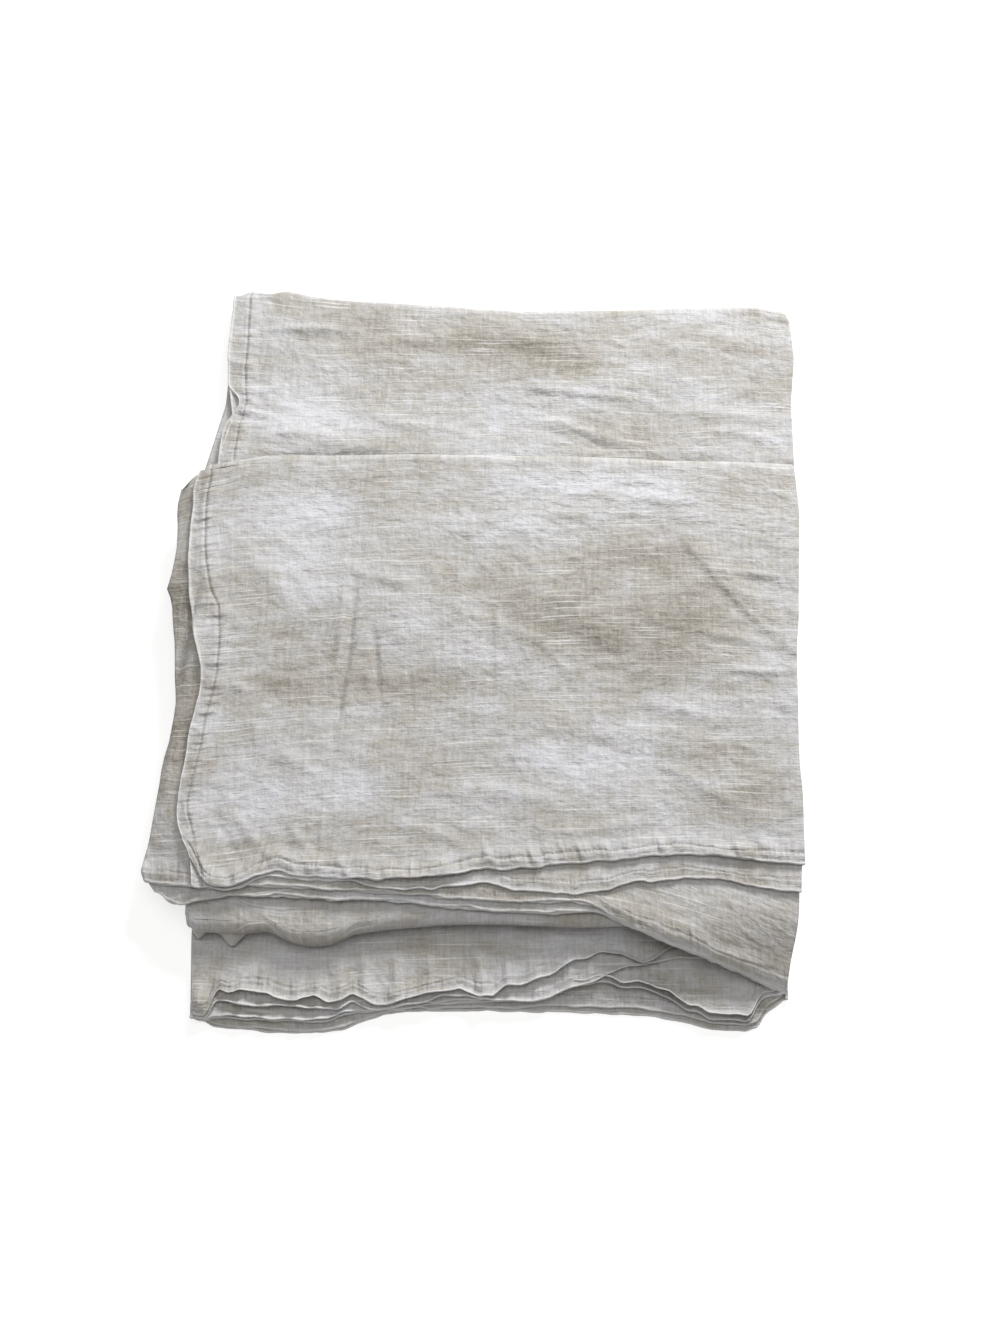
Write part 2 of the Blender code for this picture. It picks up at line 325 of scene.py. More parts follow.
FOLD_RIGHT_TOP = Line((
    (-300, 254), (-271, 258), (-247, 263), (-227, 266), (-213, 267), (-181, 271), (-126, 273), (-93, 272),
    (-19, 275), (15, 276), (43, 280), (100, 284), (152, 288), (196, 287), (204, 285),
))
SEAM_RIGHT = Line(((-330, 238), (-240, 250), (0, 265), (400, 284)))


@dataclass(frozen=True)
class Leaf:
    """One crosswise leaf: the side lines of its thirds, and its stitch line where it shows."""

    seam_left: Line
    stitch: Line | None
    fold_left: Line
    fold_right: Line


LEAVES = (
    Leaf(LEFT_BOTTOM, None, FOLD_LEFT_BOTTOM, FOLD_RIGHT_BOTTOM),
    Leaf(LEFT_SECOND, STITCH_SECOND, FOLD_LEFT_SECOND, FOLD_RIGHT_SECOND),
    Leaf(LEFT_THIRD, None, FOLD_LEFT_THIRD, FOLD_RIGHT_THIRD),
    Leaf(LEFT_TOP, STITCH_TOP, FOLD_LEFT_TOP, FOLD_RIGHT_TOP),
)


@dataclass(frozen=True)
class Crease:
    """A soft ridge (height above 0) or trough from start to end, with a step on one side, in millimetres."""

    start: tuple[float, float]
    end: tuple[float, float]
    width: float
    height: float
    step: float = 0.0


# On the top leaf: the diagonal fold line, small folds, the pucker star, broad waves and the left side
TOP_CREASES = (
    Crease((171, 124), (200, 86), 3, 1.0, 1.4),
    Crease((200, 86), (228, 52), 3, 1.3, 1.9),
    Crease((228, 52), (274, 6), 3, 1.1, 1.7),
    Crease((214, 88), (262, 84), 3, 2.6, 1.2),
    Crease((214, -9), (262, -11), 3, 2.4, 1.4),
    Crease((222, 60), (262, 30), 4, -1.4),
    Crease((-3, 48), (-1, -24), 3, 1.2),
    Crease((-9, 46), (-8, -20), 3, -0.7),
    Crease((-137, 74), (-141, 12), 3.4, -3.6),
    Crease((-141, 12), (-152, -74), 3.4, -3.6),
    Crease((-146, 70), (-150, 0), 4, 1.8),
    Crease((-118, 30), (-112, -32), 3.4, -3.2),
    Crease((-150, 92), (-90, 78), 5, 1.8),
    Crease((-40, 52), (36, 20), 4, 1.5),
    Crease((36, 20), (70, -20), 4, 1.3),
    Crease((130, -40), (200, -52), 5, 1.6),
    Crease((180, 30), (250, 16), 4, 1.6),
    Crease((150, -100), (240, -150), 5, 1.8),
    Crease((60, -160), (130, -150), 5, 1.8),
    Crease((-100, -150), (-40, -165), 5, 1.6),
    Crease((-20, -118), (40, -130), 4, 1.4),
    Crease((-240, -140), (-210, -178), 5, 2.0),
    Crease((-252, -150), (-232, -186), 4, -1.8),
    Crease((90, 170), (180, 160), 6, 1.4),
    Crease((-159, -191), (-190, -150), 4, 2.0),
    Crease((-159, -191), (-159, -146), 3, 1.8),
    Crease((-159, -191), (-128, -160), 4, 1.9),
    Crease((-159, -191), (-205, -178), 4, 1.8),
    Crease((-159, -191), (-112, -180), 4, 1.5),
    Crease((-161, -190), (-157, -192), 5, -4.2),
    Crease((-250, 120), (-200, 60), 9, 1.5),
    Crease((-230, -60), (-170, -110), 9, 1.6),
    Crease((-60, -120), (60, -135), 10, 1.3),
    Crease((60, -60), (190, -80), 12, 1.5),
    Crease((-60, 130), (90, 150), 14, 1.4),
    Crease((40, 60), (150, 10), 12, 1.3),
    Crease((190, -130), (262, -100), 8, 1.6),
    Crease((-270, -20), (-225, -30), 6, 1.6),
    Crease((-285, 60), (-240, 40), 6, 1.6),
    Crease((-286, 66), (-302, -29), 3.4, -7.0),
    Crease((-302, -29), (-313, -72), 3.4, -6.0),
    Crease((-281, 30), (-296, -40), 5, 5.0),
    Crease((-296, -60), (-304, -130), 6, 3.5),
)
# On the part of the second leaf that shows behind the top one
BLOCK_CREASES = (
    Crease((-235, 364), (-154, 363), 4, 2.4, 1.0),
    Crease((-210, 352), (-140, 350), 4, -1.4),
    Crease((-150, 350), (-20, 356), 8, 1.4),
    Crease((30, 297), (125, 285), 4, 2.2, 1.0),
    Crease((60, 258), (142, 229), 5, 2.4),
    Crease((44, 250), (110, 228), 4, -1.6),
    Crease((-240, 250), (-120, 232), 9, 2.4),
    Crease((-120, 262), (-40, 250), 6, 1.6),
    Crease((150, 340), (280, 350), 9, 1.6),
    Crease((180, 270), (285, 262), 6, 2.0),
    Crease((196, 250), (280, 240), 5, 1.6),
    Crease((-255, 290), (-215, 300), 5, 1.8),
    Crease((-250, 270), (-222, 262), 4, 1.6),
)
# On the bottom leaf where it runs out in front
FRONT_CREASES = (
    Crease((-265, -294), (-263, -311), 6, 9.0),
    Crease((-251, -290), (-249, -304), 4, -3.0),
    Crease((-227, -290), (-229, -324), 4, 6.0),
    Crease((-206, -290), (-207, -326), 4, 5.0),
    Crease((-178, -290), (-180, -328), 5, 6.5),
    Crease((-160, -290), (-160, -328), 4, 5.0),
    Crease((-142, -270), (-139, -318), 5, 5.0),
    Crease((-120, -262), (-118, -315), 5, 5.0),
    Crease((-92, -266), (-90, -312), 5, 4.5),
    Crease((-64, -262), (-58, -300), 7, 3.5),
    Crease((-20, -255), (-12, -310), 6, 5.0),
    Crease((8, -268), (10, -308), 4, 4.5),
    Crease((30, -262), (34, -300), 6, 3.5),
    Crease((60, -258), (62, -298), 4, 5.0),
    Crease((80, -262), (82, -306), 4, 5.0),
    Crease((97, -262), (100, -308), 4, 5.0),
    Crease((116, -270), (120, -314), 4, 4.5),
    Crease((140, -266), (190, -288), 7, 4.0),
    Crease((180, -270), (186, -326), 7, 3.0),
    Crease((208, -286), (213, -316), 4, -3.0),
    Crease((220, -280), (222, -326), 7, 4.0),
)
# On the front fold of the middle leaves
ROLL_CREASES = (
    Crease((-255, -212), (-252, -250), 6, -1.6),
    Crease((-208, -215), (-198, -250), 7, -2.0),
    Crease((-128, -218), (-118, -250), 7, -1.8),
    Crease((-40, -222), (-48, -245), 8, -1.4),
    Crease((30, -226), (40, -245), 8, -1.2),
)


@dataclass(frozen=True)
class Lip:
    """A stretch of a free end that turns up: from x to x, by rise, within reach of the end, all in mm."""

    start: float
    end: float
    rise: float
    reach: float


# How far the rise of a lip is eased at both its sides, in millimetres
LIP_EASE = 10
# Free ends of each sheet: on the bottom leaf and on the top leaf
LOW_LIPS = {
    "front_third": (Lip(-254, -60, 4.6, 6), Lip(-60, 160, 4.6, 6)),
    "back_third": (Lip(-254, -60, 3.8, 6), Lip(-60, 140, 3.6, 6)),
    "back_second": (Lip(-256, -130, 3.6, 6), Lip(62, 226, 6.5, 6)),
    "front_second": (Lip(-256, -130, 1.6, 6), Lip(62, 226, 4.6, 6)),
    "front_first": (Lip(-262, -130, 0.6, 9), Lip(62, 226, 1.0, 10)),
}
TOP_LIPS = {
    "back_first_top": (Lip(-262, -205, 2.0, 16), Lip(-140, -25, 4.4, 14), Lip(-25, 290, 1.2, 8)),
    "front_first": (Lip(-140, -25, 1.9, 5), Lip(-25, 290, 1.4, 7)),
    "front_second": (Lip(96, 280, -3.0, 7),),
    "back_second": (Lip(96, 280, -3.0, 7),),
    "front_third": (Lip(96, 280, -3.0, 7),),
    "back_third": (Lip(96, 280, -3.0, 7),),
}


def lip_rise(lips: tuple[Lip, ...], x: np.ndarray, to_end: np.ndarray) -> np.ndarray:
    """Height of the turned-up stretches of a free end.

    Args:
        lips: the stretches.
        x: places in metres.
        to_end: distances to the free end in metres.

    Returns:
        The sum of rise * (1 - to_end / reach)^2, eased over LIP_EASE at both sides of each stretch.
    """
    total = np.zeros_like(x)
    for lip in lips:
        inside = smooth((lip.start - LIP_EASE) * MM, (lip.start + LIP_EASE) * MM, x)
        inside = inside * (1 - smooth((lip.end - LIP_EASE) * MM, (lip.end + LIP_EASE) * MM, x))
        total += lip.rise * MM * inside * np.clip(1 - to_end / (lip.reach * MM), 0, 1) ** 2
    return total


def crease_field(creases: tuple[Crease, ...], x: np.ndarray, y: np.ndarray) -> np.ndarray:
    """Height that the creases add.

    Args:
        creases: rows of ridges.
        x, y: places in metres.

    Returns:
        The sum of height * exp(-(d / width)^2) * taper, where d is the distance from the crease's line and
        taper falls to 0 past its ends, plus step * taper on its far side, which dies out by 9 widths.
    """
    total = np.zeros_like(x)
    for crease in creases:
        ax, ay = crease.start[0] * MM, crease.start[1] * MM
        bx, by = crease.end[0] * MM, crease.end[1] * MM
        length = math.hypot(bx - ax, by - ay)
        ux, uy = (bx - ax) / length, (by - ay) / length
        along = (x - ax) * ux + (y - ay) * uy
        away = -(x - ax) * uy + (y - ay) * ux
        ends = 0.25 * length + 6 * MM
        taper = smooth(-ends, ends, along) * (1 - smooth(length - ends, length + ends, along))
        width = crease.width * MM
        total += crease.height * MM * taper * np.exp(-((away / width) ** 2))
        if crease.step:
            beyond = smooth(-width, width, away) * (1 - smooth(2 * width, 9 * width, away))
            total += crease.step * MM * taper * beyond
    return total


@dataclass(frozen=True)
class Lay:
    """How the whole stack lies: unevenness that every layer shares, so that the layers never cross.

    Fields:
        broad, fine: the noises of the larger and the smaller crumple.
        waves: each broad wave's height in metres and its two turns in the plane.
        top_swell: crumple of the top leaf in metres.
        block_swell: the same of the second leaf where it shows behind the top one.
        front_swell: the same of the bottom leaf where it runs out in front.
    """

    broad: Noise = Noise(5)
    fine: Noise = Noise(11)
    waves: tuple[tuple[float, float, float], ...] = ((2.4 * MM, 0.9, 0.7), (1.3 * MM, 2.1, 1.7))
    top_swell: float = 3.6 * MM
    block_swell: float = 4.6 * MM
    front_swell: float = 5.0 * MM

    def relief(self, x: np.ndarray, y: np.ndarray) -> np.ndarray:
        """Broad waves over the whole cover.

        Args:
            x, y: places in metres.

        Returns:
            The sum of height * sin(2 pi s) cos(2 pi t), with s and t turned in the plane.
        """
        height = np.zeros_like(x)
        for size, a, b in self.waves:
            s = (a * x + b * y) / RELIEF_SPAN
            t = (b * x - a * y) / RELIEF_SPAN
            height += size * np.sin(2 * np.pi * s) * np.cos(2 * np.pi * t)
        return height

    def swell(self, x: np.ndarray, y: np.ndarray, size: float) -> np.ndarray:
        """Crumple of the cloth.

        Args:
            x, y: places in metres.
            size: about the greatest height in metres.

        Returns:
            size * max(0, 0.45 + 0.62 v). v adds a broad noise, one of a third of its grain, ridges of
            (1 - 2.2 |noise|)^2 where a third noise is near 0, and a small one.
        """
        value = 0.5 * self.broad.at(x, y, 0.085, 0.06)
        value += 0.26 * self.broad.at(x + 0.31, y + 0.17, 0.034, 0.028)
        ridges = 1 - np.abs(self.fine.at(x + 0.4 * y, y, 0.046, 0.026)) * 2.2
        value += 0.3 * np.clip(ridges, 0, None) ** 2
        value += 0.12 * self.fine.at(x, y, 0.016, 0.012)
        return size * np.clip(0.45 + 0.62 * value, 0, None)

    def on_top(self, x: np.ndarray, y: np.ndarray, z: np.ndarray) -> np.ndarray:
        """Crumple and creases of the top leaf: none up to z = 28 mm, full from 40 mm on."""
        share = np.clip((z - 28 * MM) / (12 * MM), 0, 1) ** 1.5
        return share * (self.swell(x, y, self.top_swell) + crease_field(TOP_CREASES, x, y))

    def behind(self, x: np.ndarray, y: np.ndarray, z: np.ndarray) -> np.ndarray:
        """The same behind the back fold: none up to z = 7 mm, full from 21 mm on."""
        share = smooth(1 * MM, 14 * MM, y - BACK_FOLD.at(x)) * np.clip((z - 7 * MM) / (14 * MM), 0, 1) ** 1.5
        return share * (self.swell(x + 1, y, self.block_swell) + crease_field(BLOCK_CREASES, x, y))

    def in_front(self, x: np.ndarray, y: np.ndarray, z: np.ndarray) -> np.ndarray:
        """Crumple and creases of the bottom leaf before the front fold.

        Args:
            x, y, z: places in metres.

        Returns:
            Heights in metres, full from z = 9 mm on, and a third of that on the right, under the flap.
        """
        share = smooth(0.0, 14 * MM, FRONT_FOLD.at(x) - y) * (1 - smooth(10 * MM, 12 * MM, z))
        share = share * (1 - 0.65 * smooth(60 * MM, 110 * MM, x) * smooth(-300 * MM, -280 * MM, y))
        share = share * np.clip(z / (9 * MM), 0, 1) ** 1.6
        return share * (self.swell(x + 2, 0.3 * y, self.front_swell) + crease_field(FRONT_CREASES, x, y))

    def on_roll(self, x: np.ndarray, y: np.ndarray, z: np.ndarray) -> np.ndarray:
        """Creases on the front fold of the middle leaves, to the left of the flap."""
        share = smooth(-200 * MM, -225 * MM, y) * smooth(10 * MM, 16 * MM, z) * smooth(34 * MM, 30 * MM, z)
        return share * crease_field(ROLL_CREASES, x, y) * (1 - smooth(60 * MM, 90 * MM, x))

    def lift(self, x: np.ndarray, y: np.ndarray, z: np.ndarray) -> np.ndarray:
        """Height added at a place: more for the higher layers, never less than for the ones below.

        Args:
            x, y, z: places in metres before they are lifted.

        Returns:
            The broad waves, which grow with z up to RELIEF_FULL, and the crumple and creases of each part.
        """
        added = self.relief(x, y) * np.minimum(1.0, z / RELIEF_FULL)
        for part in (self.on_top, self.behind, self.in_front, self.on_roll):
            added = added + part(x, y, z)
        return added


def flap_fall(x: np.ndarray, y: np.ndarray) -> np.ndarray:
    """How far the top leaf has come down in front of the fold under it.

    Args:
        x, y: places in metres.

    Returns:
        slope * d, where d is the distance in front of FLAP_START, eased in by (sqrt(d^2 + ease^2) + d) / 2.
    """
    at, slopes = zip(*FLAP_SLOPES)
    slope = np.interp(x, np.array(at) * MM, slopes)
    ahead = FLAP_START - y
    return slope * (np.sqrt(ahead**2 + FLAP_EASE**2) + ahead) / 2


@dataclass(frozen=True)
class Tongue:
    """Cloth that sags forward under the front fold of the middle leaves: at x, that wide and long, in mm."""

    x: float
    width: float
    reach: float


# Two pointed ones at the left end and one wide belly
TONGUES = (Tongue(-268, 5, 8), Tongue(-238, 9, 13), Tongue(-160, 26, 4))


def tongues(x: np.ndarray, z: np.ndarray) -> np.ndarray:
    """Reach of the tongues.

    Args:
        x, z: places in metres.

    Returns:
        The sum of reach * exp(-((x - place) / width)^2), low on the fold only.
    """
    low = smooth(9 * MM, 13 * MM, z) * (1 - smooth(15 * MM, 21 * MM, z))
    total = np.zeros_like(x)
    for tongue in TONGUES:
        total += tongue.reach * MM * np.exp(-(((x - tongue.x * MM) / (tongue.width * MM)) ** 2))
    return total * low


def leaf_folds(x: np.ndarray, ease: float = 4.0) -> tuple[np.ndarray, ...]:
    """y of the far, front and back fold, where the flat part of a leaf ends."""
    far, front, back = (replace(line, ease=ease).at(x) for line in (FAR_FOLD, FRONT_FOLD, BACK_FOLD))
    return far - LEAF_REACH, front + LEAF_REACH, back - LEAF_REACH


@dataclass
class Columns:
    """Places across the band, one value each.

    Fields:
        weights: shares of the left, stitch and right lines, three rows.
        arc_x: how far the place stands out past them, round a fold.
        n: height above the band's middle line.
        normal_x, normal_n: direction from the third's middle towards its front panel.
        cloth_u: distance over the flat cloth from the band's first edge.
    """

    weights: np.ndarray
    arc_x: np.ndarray
    n: np.ndarray
    normal_x: np.ndarray
    normal_n: np.ndarray
    cloth_u: np.ndarray


@dataclass
class Rows:
    """Places along the band, one value each.

    Fields:
        leaf: 0 to 3 from the bottom up.
        share: way from the leaf's start to its end.
        turn: 1 or -1 on a turn over y forwards or back, 0 on the flat.
        angle: angle round that turn, from -90 to 90 degrees.
    """

    leaf: np.ndarray
    share: np.ndarray
    turn: np.ndarray
    angle: np.ndarray

    def shown(self) -> np.ndarray:
        """Whether each row is on the top leaf or on the part of the second one that shows behind it."""
        return (self.leaf == 3) | ((self.leaf == 1) & (self.share < SEAM_SHARE))


@dataclass
class Sheet:
    """One third of a panel: a thin sheet that follows the band's folds.

    Fields:
        name: the piece's name.
        side: the panel it belongs to.
        third: 0 to 2 from the sewn left side on.
        rows: cells along each leaf.
        turns: cells round each of the three turns between the leaves.
        columns: cells across the flat.
        close_low, close_top: cells near the free end on the bottom and the top leaf.
        shown_block: cells on the part of the second leaf that shows behind the top one.
        part: the whole length, or only the top leaf with its turn, or the rest.
        lay: how the whole stack lies.
    """

    name: str
    side: Side
    third: int
    rows: tuple[int, int, int, int]
    turns: tuple[int, int, int]
    columns: int = 120
    close_low: int = 6
    close_top: int = 6
    shown_block: int = 0
    part: Part = Part.WHOLE
    lay: Lay = Lay()

    def across(self) -> Columns:
        """Places across the third.

        Returns:
            The flat, with close steps at its sewn edge and its stitch line, and then half a circle of
            THIRD_RADIUS round the fold to the next third: x = r cos(angle), n = r sin(angle).
        """
        edge = np.array(EDGE_PLACES) / (SEAM_WIDTH / MM)
        near = np.array(STITCH_PLACES) * MM / (BAND_WIDTH - SEAM_WIDTH)
        inner = np.concatenate([near, np.linspace(near[-1], 1, self.columns + 1)[1:]])
        weights = np.array([
            np.concatenate([1 - edge, np.zeros_like(inner)]),
            np.concatenate([edge, 1 - inner]),
            np.concatenate([np.zeros_like(edge), inner]),
        ])
        flat_u = weights[1] * SEAM_WIDTH + weights[2] * BAND_WIDTH
        facing = THIRD_FACINGS[self.third]
        if facing < 0:
            weights, flat_u = weights[:, ::-1], BAND_WIDTH - flat_u[::-1]
        level, still = np.full(weights.shape[1], THIRD_HEIGHTS[self.third]), np.zeros(weights.shape[1])
        flat = (still, level, still, np.full(weights.shape[1], facing))
        if self.third == 2:
            return Columns(weights, *flat, flat_u + 2 * BAND_WIDTH)
        turn = 1 if self.third == 0 else -1
        angle = np.radians(np.linspace(-90, 90, FOLD_CELLS + 1)[1:])
        out_x, out_n = turn * np.cos(angle), np.sin(angle)
        centre = (THIRD_HEIGHTS[self.third] + THIRD_HEIGHTS[self.third + 1]) / 2
        at_fold = np.repeat(np.eye(3)[:, [2 if turn > 0 else 0]], FOLD_CELLS, axis=1)
        arc = (THIRD_RADIUS * out_x, centre + THIRD_RADIUS * out_n, -turn * out_x, -turn * out_n)
        fold_u = BAND_WIDTH + (angle + math.pi / 2) * THIRD_RADIUS
        joined = [np.concatenate(pair) for pair in zip(flat, arc)]
        u = np.concatenate([flat_u, fold_u]) + self.third * BAND_WIDTH
        return Columns(np.concatenate([weights, at_fold], axis=1), *joined, u)

    def end_places(self, cells: int, reach: float) -> np.ndarray:
        """Distances from a free end.

        Args:
            cells: even cells up to reach, or no more than CLOSE_CELLS for a single step past the hem.
            reach: how far the even cells go, in metres.

        Returns:
            Close steps over the hem, then the even ones past it.
        """
        hem = np.array(END_PLACES) * MM
        even = np.linspace(0, reach, cells + 1)[1:] if cells > CLOSE_CELLS else hem[-1:] + END_STEP
        return np.concatenate([hem, even[even > FIRST_EVEN]])

    def along(self) -> Rows:
        """Places along the band.

        Returns:
            Four leaves and the three turns between them, close together at the free ends and where the
            leaf shows, and of these only the ones in this sheet's part of the length.
        """
        low = self.end_places(self.close_low, LOW_CLOSE) / LOW_RUN
        top = self.end_places(self.close_top, TOP_CLOSE) / TOP_RUN
        block = np.linspace(0, BLOCK_SHARE, self.shown_block + 1)[:-1] if self.shown_block else np.array([])
        start = BLOCK_SHARE if self.shown_block else 0.0
        leaves = (
            np.concatenate([low, np.linspace(low[-1], 1, self.rows[0] + 1)[1:]]),
            np.concatenate([block, np.linspace(start, 1, self.rows[1] + 1)]),
            np.linspace(0, 1, self.rows[2] + 1),
            np.concatenate([np.linspace(0, 1 - top[-1], self.rows[3] + 1)[:-1], 1 - top[::-1]]),
        )
        stretches = []
        for k, places in enumerate(leaves):
            flat = np.zeros(len(places))
            stretches.append((np.full(len(places), k), places, flat, flat))
            if k < 3:
                inner = np.radians(np.linspace(-90, 90, self.turns[k] + 1)[1:-1])
                full = np.ones(len(inner))
                stretches.append((np.full(len(inner), k), full, full if k != 1 else -full, inner))
        leaf, share, turn, angle = (np.concatenate(values) for values in zip(*stretches))
        last_turn = (leaf == 2) & (share == 1.0)
        top_part = (leaf == 3) | last_turn
        under_part = ~top_part | (last_turn & (turn == 0))
        kept = {Part.WHOLE: leaf >= 0, Part.TOP: top_part, Part.UNDER: under_part}[self.part]
        return Rows(leaf[kept], share[kept], turn[kept], angle[kept])

    def end_line(self, end: End, x: np.ndarray) -> np.ndarray:
        """y of the sheet's own free end.

        Args:
            end: which of its two ends.
            x: places in metres.

        Returns:
            The traced line, uneven by some 2 mm, so that no two hems run quite alike.
        """
        front = self.side is Side.FRONT
        own = 0.31 * self.third + 0.13 * self.side.value
        wave = 1.5 * MM * self.lay.fine.at(x + own, 0 * x + own, 0.014)
        wave = wave + 0.7 * MM * self.lay.fine.at(x, 0 * x + own, 0.006)
        if end is End.TOP:
            return (FRONT_LIP if front else BACK_LIP, TOP_SECOND, TOP_THIRD)[self.third].at(x) + wave
        under = THIRD_FACINGS[self.third] * self.side.value < 0
        if self.third == 2:
            return (LOW_THIRD_UNDER if under else LOW_THIRD).at(x) + LOW_WAVE * wave
        apart = 0.0 if under else 2 * MM + 3 * MM * smooth(0.0, 60 * MM, x)
        return (LOW_FIRST, LOW_SECOND)[self.third].at(x) + apart + LOW_WAVE * wave

    def y_at(self, rows: Rows, x: np.ndarray) -> np.ndarray:
        """y of each row at each x before its turn is added.

        Args:
            rows: places along the band.
            x: places across, one row of the array for each column of the band.

        Returns:
            start + share * (end - start), between the two lines that the row's leaf runs between.
        """
        leaf, share = rows.leaf[None, :], rows.share[None, :]
        far, front, back = leaf_folds(x)
        starts = np.choose(leaf, [self.end_line(End.LOW, x), far, front, back])
        ends = np.choose(leaf, [far, front, back, self.end_line(End.TOP, x)])
        return starts + share * (ends - starts)

    def x_at(self, columns: Columns, rows: Rows, y: np.ndarray) -> np.ndarray:
        """x of each place.

        Args:
            columns, rows: places across and along the band.
            y: y of each place in metres.

        Returns:
            The weighted mean of the leaf's left, stitch and right lines at y.
        """
        x = np.zeros_like(y)
        for k, leaf in enumerate(LEAVES):
            chosen = rows.leaf == k
            at = y[:, chosen]
            left = (leaf.seam_left.at(at), leaf.fold_left.at(at) + THIRD_REACH)[self.third > 0]
            right = SEAM_RIGHT.at(at) if self.third == 2 else leaf.fold_right.at(at) - THIRD_REACH
            inner = leaf.stitch.at(at) if self.third == 0 and leaf.stitch else left + SEAM_WIDTH
            w = columns.weights[:, :, None]
            x[:, chosen] = w[0] * left + w[1] * inner + w[2] * right
        return x

    def middle(self, columns: Columns, rows: Rows) -> tuple[np.ndarray, np.ndarray]:
        """Places on the flat leaves, before the folds between the thirds stand out.

        Args:
            columns, rows: places across and along the band.

        Returns:
            x and y of each place, from a rough x and three rounds of reading y from x and x from y.
        """
        guess = np.array(ROUGH_LINES_FIRST if self.third == 0 else ROUGH_LINES)
        rough = columns.weights[0] * guess[0] + columns.weights[1] * guess[1] + columns.weights[2] * guess[2]
        x = np.repeat(rough[:, None] * MM, len(rows.leaf), axis=1)
        for _ in range(3):
            x = self.x_at(columns, rows, self.y_at(rows, x))
        return x, self.y_at(rows, x)

    def distances(self, columns: Columns, rows: Rows) -> tuple[np.ndarray, np.ndarray]:
        """How far each place is from the edges.

        Args:
            columns, rows: places across and along the band.

        Returns:
            Distances to the nearest free end and to the sewn edge in metres, 1 where there is none.
        """
        low, top = rows.share * LOW_RUN, (1 - rows.share) * TOP_RUN
        run = np.where(rows.leaf == 0, low, np.where(rows.leaf == 3, top, 1.0))
        to_end = np.where(rows.turn != 0, 1.0, run)[None, :] + np.zeros((len(columns.n), 1))
        u = columns.cloth_u[:, None] - self.third * BAND_WIDTH + np.zeros((1, len(rows.leaf)))
        return to_end, (u, np.ones_like(u), BAND_WIDTH - u)[self.third]

    def thickness(self, to_end: np.ndarray, to_edge: np.ndarray) -> np.ndarray:
        """Thickness of the sheet.

        Args:
            to_end, to_edge: distances to the free end and the sewn edge in metres.

        Returns:
            CLOTH, thicker within the hem, with a rounded bead at both: BEAD sqrt(1 - (1 - 2 d / BEAD)^2).
        """
        hem = CLOTH + (HEM - CLOTH) * (1 - smooth(HEM_WIDTH - 2 * MM, HEM_WIDTH, to_end))
        hem = hem + (BEAD - HEM) * (1 - smooth(BEAD / 2, BEAD_REACH, to_end))
        seam = (BEAD - CLOTH) * (1 - smooth(BEAD / 2, BEAD_REACH, to_edge))
        thick = np.maximum(hem, CLOTH + seam)
        for d in (to_end, to_edge):
            near = np.clip(2 * d / BEAD, 0, 1)
            thick = thick * np.sqrt(np.clip(1 - (1 - near) ** 2, THINNEST, 1))
        return thick

    def face(self, columns: Columns, rows: Rows, x: np.ndarray, y: np.ndarray, offset: np.ndarray) -> Places:
        """One face of the sheet before the stack's unevenness.

        Args:
            columns, rows: places across and along the band.
            x, y: each place on the flat leaves in metres.
            offset: distance from the third's middle to the face, along the normal, in metres.

        Returns:
            x, y and z. On a leaf z is the leaf's height plus or minus n. Round a turn of radius
            r = LEAF_RADIUS - n, y gains r cos(angle) and z gains LEAF_RADIUS + r sin(angle).
        """
        n = columns.n[:, None] + offset * columns.normal_n[:, None]
        x = x + columns.arc_x[:, None] + offset * columns.normal_x[:, None]
        leaf_z = np.choose(rows.leaf, LEAF_HEIGHTS)[None, :]
        facing = np.choose(rows.leaf, LEAF_FACINGS)[None, :]
        turn, angle = rows.turn[None, :], rows.angle[None, :]
        radius = LEAF_RADIUS - turn * n
        y = y + np.where(turn != 0, turn * radius * np.cos(angle), 0.0)
        z = np.where(turn != 0, leaf_z + LEAF_RADIUS + radius * np.sin(angle), leaf_z + facing * n)
        z = z - np.where(rows.leaf[None, :] == 3, flap_fall(x, y) + self.overhang_fall(x, y), 0.0)
        return x, y - tongues(x, z), z

    def points(self) -> tuple[np.ndarray, tuple[int, int], dict[str, np.ndarray]]:
        """Both faces of the sheet.

        Returns:
            Points (2 * columns * rows, 3), the grid's shape, and the two maps in metres: the cloth's own
            (u, v), and the distances to the sewn edge and to the nearest free end.
        """
        columns, rows = self.across(), self.along()
        x, y = self.middle(columns, rows)
        to_end, to_edge = self.distances(columns, rows)
        thick = self.thickness(to_end, to_edge)
        # Two sewn edges meet, so the sheet leaves its own side of the middle line near them
        spread = PLY_PITCH / 2 * (0.55 + 0.45 * smooth(0.0, 7 * MM, to_edge))
        faces = []
        for face in (1, -1):
            offset = self.side.value * spread + face * thick / 2
            px, py, pz = self.face(columns, rows, x, y, offset)
            pz = pz + self.lay.lift(px, py, pz) + self.detail(px, py, to_end, to_edge, rows)
            pz = pz + np.where(to_end < HEM_WIDTH, np.clip(thick - CLOTH, 0, None) / 2, 0.0)
            # Near the floor the cloth lies down softly and never reaches below it
            pz = np.where(pz < LOWEST, np.exp(pz / LOWEST - 1) * LOWEST, pz)
            faces.append(np.stack([px, py, pz], axis=-1).reshape(-1, 3))
        hem_run = to_end * HEM_WIDTH / self.hem_width(x)
        maps = {"cloth": self.cloth_map(columns, rows, x, y), "edges": np.stack([to_edge, hem_run], axis=-1)}
        flat_maps = {name: made.reshape(-1, 2) for name, made in maps.items()}
        return np.concatenate(faces) + SHIFT, x.shape, flat_maps

